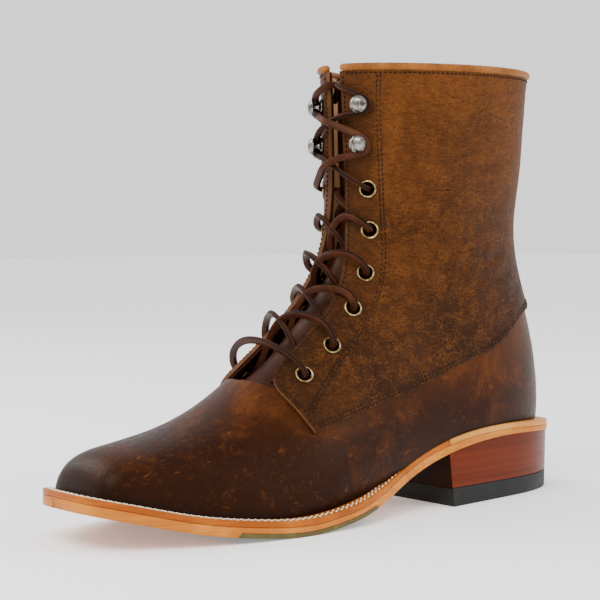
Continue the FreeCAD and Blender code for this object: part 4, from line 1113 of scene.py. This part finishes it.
def foot_space_edge(inset, count=240):
    """Outline of the foot space at the sole, inset from the upper's outer face."""
    part = np.linspace(0, 1, count)
    station, angle = feather(part)
    points = []
    for side in (1, -1):
        foot = girth_point(station, side * angle) - outward(station, side * angle) * inset
        points.append(foot[:, :2] if side > 0 else foot[::-1, :2][1:-1])
    return np.concatenate(points)


def outline_between(first, last):
    """Numbers of the outline's places between two x, in one run round the toe or the heel."""
    order = [i for i in range(len(OUTLINE)) if first < OUTLINE[i, 0] < last]
    return sorted(order, key=lambda i: (i + HALF) % len(OUTLINE)) if first > 0 else order


RIM_SOFT = 0.5


def rim_ring(name, first, last, materials, nodes):
    """Rim between the sole and the upper, over the stretch of the outline between two x."""
    inner = foot_space_edge(INSOLE_INSET)
    loops = []
    for i in outline_between(first, last):
        point, normal = OUTLINE[i], OUTLINE_OUT[i]
        near = inner[np.argmin(np.sum((inner - point) ** 2, axis=1))]
        across = near - point
        wide = np.linalg.norm(across)
        across = across / wide
        steps = soft_edge(RIM_SOFT) + [(0.5 * wide, "high", 0.0), (wide, "high", 0.0),
                                       (wide, "low", 0.0)]
        loop = []
        for back, level, rise in steps:
            spot = point + across * back
            base = outsole_top(spot[0]) + PLATE_AIR if level == "low" else welt_top(spot[0])
            loop.append((spot[0], spot[1], base + rise))
        loops.append(loop)
    faces = solid_faces(len(loops), len(loops[0]))
    return make_piece(name, np.array(loops).reshape(-1, 3), faces, materials, nodes)


def make_rims():
    rim_ring("welt_rim", BREAST + END_AIR, 320.0, [WELT_EDGE], ["welt"])
    rim_ring("heel_seat_rim", -5.0, BREAST - END_AIR, [SEAT_EDGE], ["heel_rand"])


# Heel: a D in plan, from the breast's outer corner round the back to its inner corner.
HEEL_BOTTOM = [(101, 36.5), (80, 34.6), (58, 32.2), (36, 28.6), (16, 20.5), (5.5, 10.5), (2.2, 0),
               (5.5, -11), (16, -21.5), (36, -29.4), (58, -32), (80, -33.4), (101, -33.8)]
HEEL_TOP = [(101, 33.6), (80, 33.6), (58, 32.5), (36, 29.6), (16, 21.3), (4.5, 10.5), (1, 0),
            (4.5, -11), (16, -22.2), (36, -30.2), (58, -31.7), (80, -31.4), (101, -29.7)]
CAP_THICK, HEEL_TOP_Z = 9.5, 34.0


def open_curve(points, count):
    points = np.asarray(points, float)
    marks = travel_along(points)
    places = np.linspace(0, marks[-1], count)
    return np.stack([spline(marks, points[:, k])(places) for k in range(2)], 1)


HEEL_LOW, HEEL_HIGH = open_curve(HEEL_BOTTOM, 120), open_curve(HEEL_TOP, 120)


def heel_ring(z, inset=0.0):
    """Heel's outline at a height, with the breast's face closed by a straight line."""
    share = (z - CAP_THICK) / (HEEL_TOP_Z - CAP_THICK)
    ring = HEEL_LOW + (HEEL_HIGH - HEEL_LOW) * share
    centre = np.array([BREAST * 0.55, 1.5])
    away = ring - centre
    ring = centre + away * (1 - inset / np.linalg.norm(away, axis=1, keepdims=True))
    breast_line = np.linspace(ring[-1], ring[0], 14)[1:-1]
    return np.concatenate([ring, breast_line])


def stacked(name, rings, materials, nodes):
    """Solid skin over rings of points, closed by flat ends."""
    sides = len(rings[0])
    points = np.array(rings).reshape(-1, 3)
    faces = solid_faces(len(rings), sides)
    straight = len(HEEL_LOW) - 1
    # with two materials the breast's straight face takes the second one, which on the heel block is
    # painted shade
    indices = [int(len(materials) > 1 and k % sides >= straight) for k in range(len(faces) - 2)]
    piece = make_piece(name, points, faces, materials, nodes, indices + [0, 0])
    return rounded(piece, 0.5, 3, 50)


def flat_ring(z, inset=0.0):
    ring = heel_ring(z, inset)
    return np.column_stack([ring, np.full(len(ring), z)])


def make_heel():
    stacked("heel_cap_lift", [flat_ring(0.0, 0.4), flat_ring(0.6), flat_ring(CAP_THICK - PLATE_AIR)],
            [BLACK_RUBBER], ["heel_cap"])
    rings = [flat_ring(CAP_THICK)]
    levels = 6
    base = heel_ring(CAP_THICK)
    for level in range(1, levels + 1):
        ring = []
        for i in range(len(base)):
            top = sole_under(base[i, 0])
            z = CAP_THICK + (top - CAP_THICK) * level / levels
            ring.append((*heel_point(i, z), z))
        rings.append(np.array(ring))
    # the heel block's breast face carries the painted shade
    stacked("heel_block_lifts", rings, [HEEL, BREAST_PAINTED_SHADE], ["heel_block"])


HEEL_FOOT, HEEL_HEAD = heel_ring(CAP_THICK), heel_ring(HEEL_TOP_Z)


def heel_point(i, z):
    """One place of the heel's outline at a height."""
    share = (z - CAP_THICK) / (HEEL_TOP_Z - CAP_THICK)
    return HEEL_FOOT[i] + (HEEL_HEAD[i] - HEEL_FOOT[i]) * share


make_soles()
make_rims()
make_heel()

# Lock-stitch on the welt: two rows, from the waist on one side round the toe to the other.
WELT_ROWS = (2.3, 4.5)              # insets from the welt's edge
STITCH_END_X = 128.0
cream_rows = []
for inset in WELT_ROWS:
    order = outline_between(STITCH_END_X, math.inf)
    line = OUTLINE[order] - OUTLINE_OUT[order] * inset
    heights = welt_top(line[:, 0]) + THREAD_LIFT
    slope = welt_top(line[:, 0] + 0.5) - welt_top(line[:, 0] - 0.5)
    up = unit(np.stack([-slope, np.zeros(len(line)), np.ones(len(line))], 1))
    cream_rows.append(spaced(np.column_stack([line, heights]), up, WELT_PITCH))
make_stitches("welt_stitching", cream_rows, 2.9, 0.50, CREAM_THREAD, 0.38)


# ---------------------------------------------------------------- eyelets, hooks and lace
FACE = QUARTER_OUT + 0.15
INSIDE_SAG = 0.5                    # the leather's inner face curves away under a flat flange
SEAT_IN = FACING_IN - INSIDE_SAG


def arc(centre, radius, first, last, count):
    """Points (radius, height) of a round profile, angles in degrees."""
    return [(centre[0] + radius * math.cos(math.radians(a)),
             centre[1] + radius * math.sin(math.radians(a))) for a in np.linspace(first, last, count)]


def turned(profile, closed, sides=48):
    """Points and faces of a profile turned about the z axis."""
    profile = np.asarray(profile, float)
    turns = np.linspace(0, 2 * math.pi, sides, endpoint=False)
    points = [(r * math.cos(t), r * math.sin(t), z) for r, z in profile for t in turns]
    faces = loft_faces(len(profile), sides, closed)
    return np.array(points), faces if closed else faces + end_faces(len(profile), sides)


def fasteners(name, profile, closed, rows, side, material, nodes):
    points, faces = turned(profile, closed)
    copies = [points @ turn.T + place for place, turn in seats(rows, side)]
    return make_piece(name, np.concatenate(copies), repeated(faces, len(copies), len(points)),
                      [material], nodes)


EYELET = (arc((3.95, FACE + 0.05), 0.62, 0, 180, 9)            # rolled rim
          + [(3.12, FACE - 0.3), (2.95, FACE - 0.9), (2.92, SEAT_IN)]
          + [(2.98, SEAT_IN - 0.45), (3.5, SEAT_IN - 0.6), (4.0, SEAT_IN - 0.4)]
          + [(3.9, SEAT_IN - 0.05), (3.32, SEAT_IN), (3.30, FACE)])
NECK_TOP = FACE + 0.9 + 3.9
HOOK = ([(0.0001, SEAT_IN - 0.6), (3.2, SEAT_IN - 0.55), (3.6, SEAT_IN - 0.3), (3.3, SEAT_IN)]
        + [(3.3, FACE), (4.5, FACE)] + arc((4.35, FACE + 0.45), 0.45, -60, 80, 6)
        + [(3.4, FACE + 0.95), (2.3, FACE + 1.2), (1.75, FACE + 1.9), (1.6, NECK_TOP - 1.2)]
        + [(1.85, NECK_TOP - 0.4), (3.7, NECK_TOP)] + arc((4.1, NECK_TOP + 0.42), 0.42, -80, 60, 6)
        + [(4.05, NECK_TOP + 1.05), (3.45, NECK_TOP + 1.75), (2.5, NECK_TOP + 2.25),
           (1.3, NECK_TOP + 2.5), (0.0001, NECK_TOP + 2.58)])
for side, word in ((1, "left"), (-1, "right")):
    fasteners("eyelets_" + word + "_brass", EYELET, True, EYELET_ROWS, side, BRASS,
              ["eyelets_" + word])
    fasteners("speed_hooks_" + word + "_nickel", HOOK, False, HOOK_ROWS, side, NICKEL,
              ["speed_hooks_" + word])

# Route of the lace as (station, y, height above the upper's outer face), for the half that starts
# from the middle of the lowest bar towards +Y.  The other half is its mirror image.  Between the
# first five eyelets both take the same heights, so they run through each other at those four
# crossings; above the fifth eyelet one half passes over the other.
INSIDE = -4.9
BAR = [(0.356, 6.0, 9.6), (0.358, 17.0, 9.2), (0.364, 25.2, 6.6)]
CROSSING = {True: (2.6, 8.0, 8.6, 6.8), False: (0.0, 3.8, 5.8, 6.0)}
HOOK_CORNER = (0.0135, 3.4)
HOOK_LEVEL = 4.95
TUCK = [(0.946, 11.5, 6.0), (0.962, 3.6, 4.4), (0.966, 3.2, -3.2), (0.950, 8.5, INSIDE),
        (0.930, 14.0, INSIDE)]


def eyelet_step(row, side, over):
    """From inside one eyelet, up through the throat and down into the next one opposite."""
    (station, _), (up, y) = EYELET_ROWS[row], EYELET_ROWS[row + 1]
    rise = up - station
    low, high, edge, top = CROSSING[over]
    gap = throat_gap(station + 0.3 * rise)
    gap_up = throat_gap(up)
    return [(station + 0.30 * rise, side * (gap + 2.2), INSIDE),
            (station + 0.62 * rise, side * 0.35 * gap, low),
            (station + 0.95 * rise, -side * 0.35 * gap, high),
            (up + 0.20 * rise, -side * (gap_up + 2.8), edge),
            (up + 0.02 * rise, -side * (y + 0.2), top),
            (up, -side * y, INSIDE)]


def last_eyelet_step(side, over):
    """Across the inside from the fifth eyelet, and out through the sixth."""
    (station, _), (up, y) = EYELET_ROWS[-2:]
    rise = up - station
    middle = -1.2 if over else -4.75
    return [(station + 0.24 * rise, side * 9.6, INSIDE + 0.1),
            (station + 0.42 * rise, side * 3.2, middle),
            (station + 0.66 * rise, -side * 3.2, middle),
            (station + 0.86 * rise, -side * 9.6, INSIDE + 0.1),
            (up, -side * y, INSIDE - 0.1),
            (up + 0.002, -side * y, 6.6)]


def hook_step(start, hook, side, over):
    """From one side across the throat, and round the neck of a hook on the other side."""
    station, y = hook
    rise = station - HOOK_CORNER[0] - start
    middle = 8.4 if over else 4.7
    level = 5.6 if over else 5.2
    return [(start + 0.25 * rise, side * 7.5, level + 0.6),
            (start + 0.42 * rise, side * 2.2, middle),
            (start + 0.58 * rise, -side * 2.2, middle),
            (start + 0.78 * rise, -side * 8.0, level),
            (station - HOOK_CORNER[0], -side * (y + HOOK_CORNER[1]), HOOK_LEVEL),
            (station + HOOK_CORNER[0], -side * (y + HOOK_CORNER[1]), HOOK_LEVEL)]


def half_route(side, over):
    route = [(station, side * y, out) for station, y, out in BAR]
    station, y = EYELET_ROWS[0]
    route.append((station, side * y, INSIDE))
    for row in range(len(EYELET_ROWS) - 2):
        route += eyelet_step(row, side, over == (side > 0))
        side = -side
    route += last_eyelet_step(side, over)
    side = -side
    start = EYELET_ROWS[-1][0]
    for hook in HOOK_ROWS:
        route += hook_step(start, hook, side, over)
        side = -side
        start = hook[0] + HOOK_CORNER[0]
    return route + [(station, side * y, out) for station, y, out in TUCK]


def route_line(places, smooth):
    """Points of the smooth NURBS line whose control points are the route's places."""
    control = []
    for station, y, out in places:
        angle = angle_at_y(station, y)
        control.append(girth_point(station, angle) + outward(station, angle) * out)
    control = to_frame(np.array(control))
    curve = bpy.data.curves.new("lace_line", "CURVE")
    curve.dimensions = "3D"
    line = curve.splines.new("NURBS")
    line.points.add(len(control) - 1)
    for point, place in zip(line.points, control):
        point.co = (*place, 1.0)
    line.order_u = 3
    line.use_endpoint_u = True
    curve.resolution_u = smooth
    holder = bpy.data.objects.new("lace_line", curve)
    mesh = bpy.data.meshes.new_from_object(holder)
    points = np.array([v.co for v in mesh.vertices])
    bpy.data.objects.remove(holder)
    bpy.data.meshes.remove(mesh)
    bpy.data.curves.remove(curve)
    return (points - np.array([SOLE_BACK, 0, 0])) / MM


def make_lace():
    """Flat-sided leather lace swept along its line without twisting."""
    middle = route_line(half_route(1, True)[::-1] + half_route(-1, False), 8)
    along = unit(np.gradient(middle, axis=0))
    faces_up = []
    normal = unit(np.array([[1.0, 0.0, 1.0]]))[0]
    for tangent in along:
        normal = normal - tangent * np.dot(normal, tangent)
        normal = normal / np.linalg.norm(normal)
        faces_up.append(normal)
    faces_up = np.array(faces_up)
    across = np.cross(along, faces_up)
    wide, thick, corner = 1.75, 1.25, 0.45
    profile = []
    for cx, cy, first in ((1, 1, 0), (-1, 1, 90), (-1, -1, 180), (1, -1, 270)):
        for a in (0, 45, 90):
            turn = math.radians(first + a)
            profile.append((cx * (wide - corner) + corner * math.cos(turn),
                            cy * (thick - corner) + corner * math.sin(turn)))
    piece = ring_tube("lace_leather_lace", middle, across, faces_up, profile, [LACE, LACE_EDGE],
                      ["lace"])
    for polygon in piece.data.polygons:
        if len(polygon.vertices) == 4:
            sides = sorted(vertex % len(profile) for vertex in polygon.vertices)
            if (sides[0], sides[-1]) in ((0, len(profile) - 1), (5, 6)):     # the narrow sides
                polygon.material_index = 1


make_lace()

# ---------------------------------------------------------------- carried-over parts
FINISHES = {
    "toe_box": STIFFENER, "side_lining_left": STIFFENER, "side_lining_right": STIFFENER,
    "heel_counter": STIFFENER, "insole": INSOLE, "sock_liner": LINING, "cork_filler": CORK,
    "shank": STEEL, "heel_screws": STEEL}
for node, material in FINISHES.items():
    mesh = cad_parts[node].data
    mesh.materials.clear()
    mesh.materials.append(material)

# ---------------------------------------------------------------- studio
FLOOR_HALF = 6.0


def make_studio():
    """Pale floor and a white world round it; the soft lights above and at both sides are made after it.
    """
    n = Nodes("studio_floor")
    n.finish((0.93, 0.93, 0.93), 0.85, specular=0.1)
    n.shader.inputs["Emission Color"].default_value = (1.0, 1.0, 1.0, 1.0)
    n.shader.inputs["Emission Strength"].default_value = 0.25
    mesh = bpy.data.meshes.new("studio_floor")
    corners = [(-1, -1), (1, -1), (1, 1), (-1, 1)]
    mesh.from_pydata([(x * FLOOR_HALF, y * FLOOR_HALF, 0) for x, y in corners], [], [(0, 1, 2, 3)])
    mesh.materials.append(n.material)
    floor = placed("studio_floor", mesh)
    world = bpy.data.worlds.new("studio")
    world.use_nodes = True
    world.node_tree.nodes["Background"].inputs["Color"].default_value = (1, 1, 1, 1)
    world.node_tree.nodes["Background"].inputs["Strength"].default_value = 1.35
    bpy.context.scene.world = world


def soft_light(name, place, aim, wide, high, power):
    lamp = bpy.data.lights.new(name, "AREA")
    lamp.shape = "RECTANGLE"
    lamp.size, lamp.size_y, lamp.energy = wide, high, power
    holder = placed(name, lamp)
    holder.location = place
    holder.rotation_euler = (Vector(aim) - Vector(place)).to_track_quat("-Z", "Y").to_euler()


make_studio()
MIDDLE = (0.0, 0.0, 0.1)
soft_light("key", (0.9, 0.35, 1.1), MIDDLE, 0.9, 0.7, 16.0)
soft_light("back_left", (0.5, -1.0, 0.9), MIDDLE, 0.7, 0.7, 9.0)
soft_light("side", (-0.9, 1.1, 0.7), MIDDLE, 0.8, 0.8, 8.0)


def make_camera():
    """Camera low on the outer side, 40 degrees off the boot's length, as a long lens sees it."""
    yaw, pitch, distance, height = math.radians(40), math.radians(0.6), 0.854, 0.1443
    aim_x = SOLE_BACK + 0.150
    place = Vector((aim_x + distance * math.sin(yaw), distance * math.cos(yaw), height))
    forward = Vector((-math.sin(yaw) * math.cos(pitch), -math.cos(yaw) * math.cos(pitch),
                      math.sin(pitch)))
    camera = bpy.data.cameras.new("camera")
    camera.sensor_width, camera.lens = 36.0, 100.0
    camera.shift_x, camera.shift_y = -0.0568, -0.1525
    holder = placed("camera", camera)
    holder.location = place
    holder.rotation_euler = forward.to_track_quat("-Z", "Y").to_euler()
    bpy.context.scene.camera = holder


make_camera()
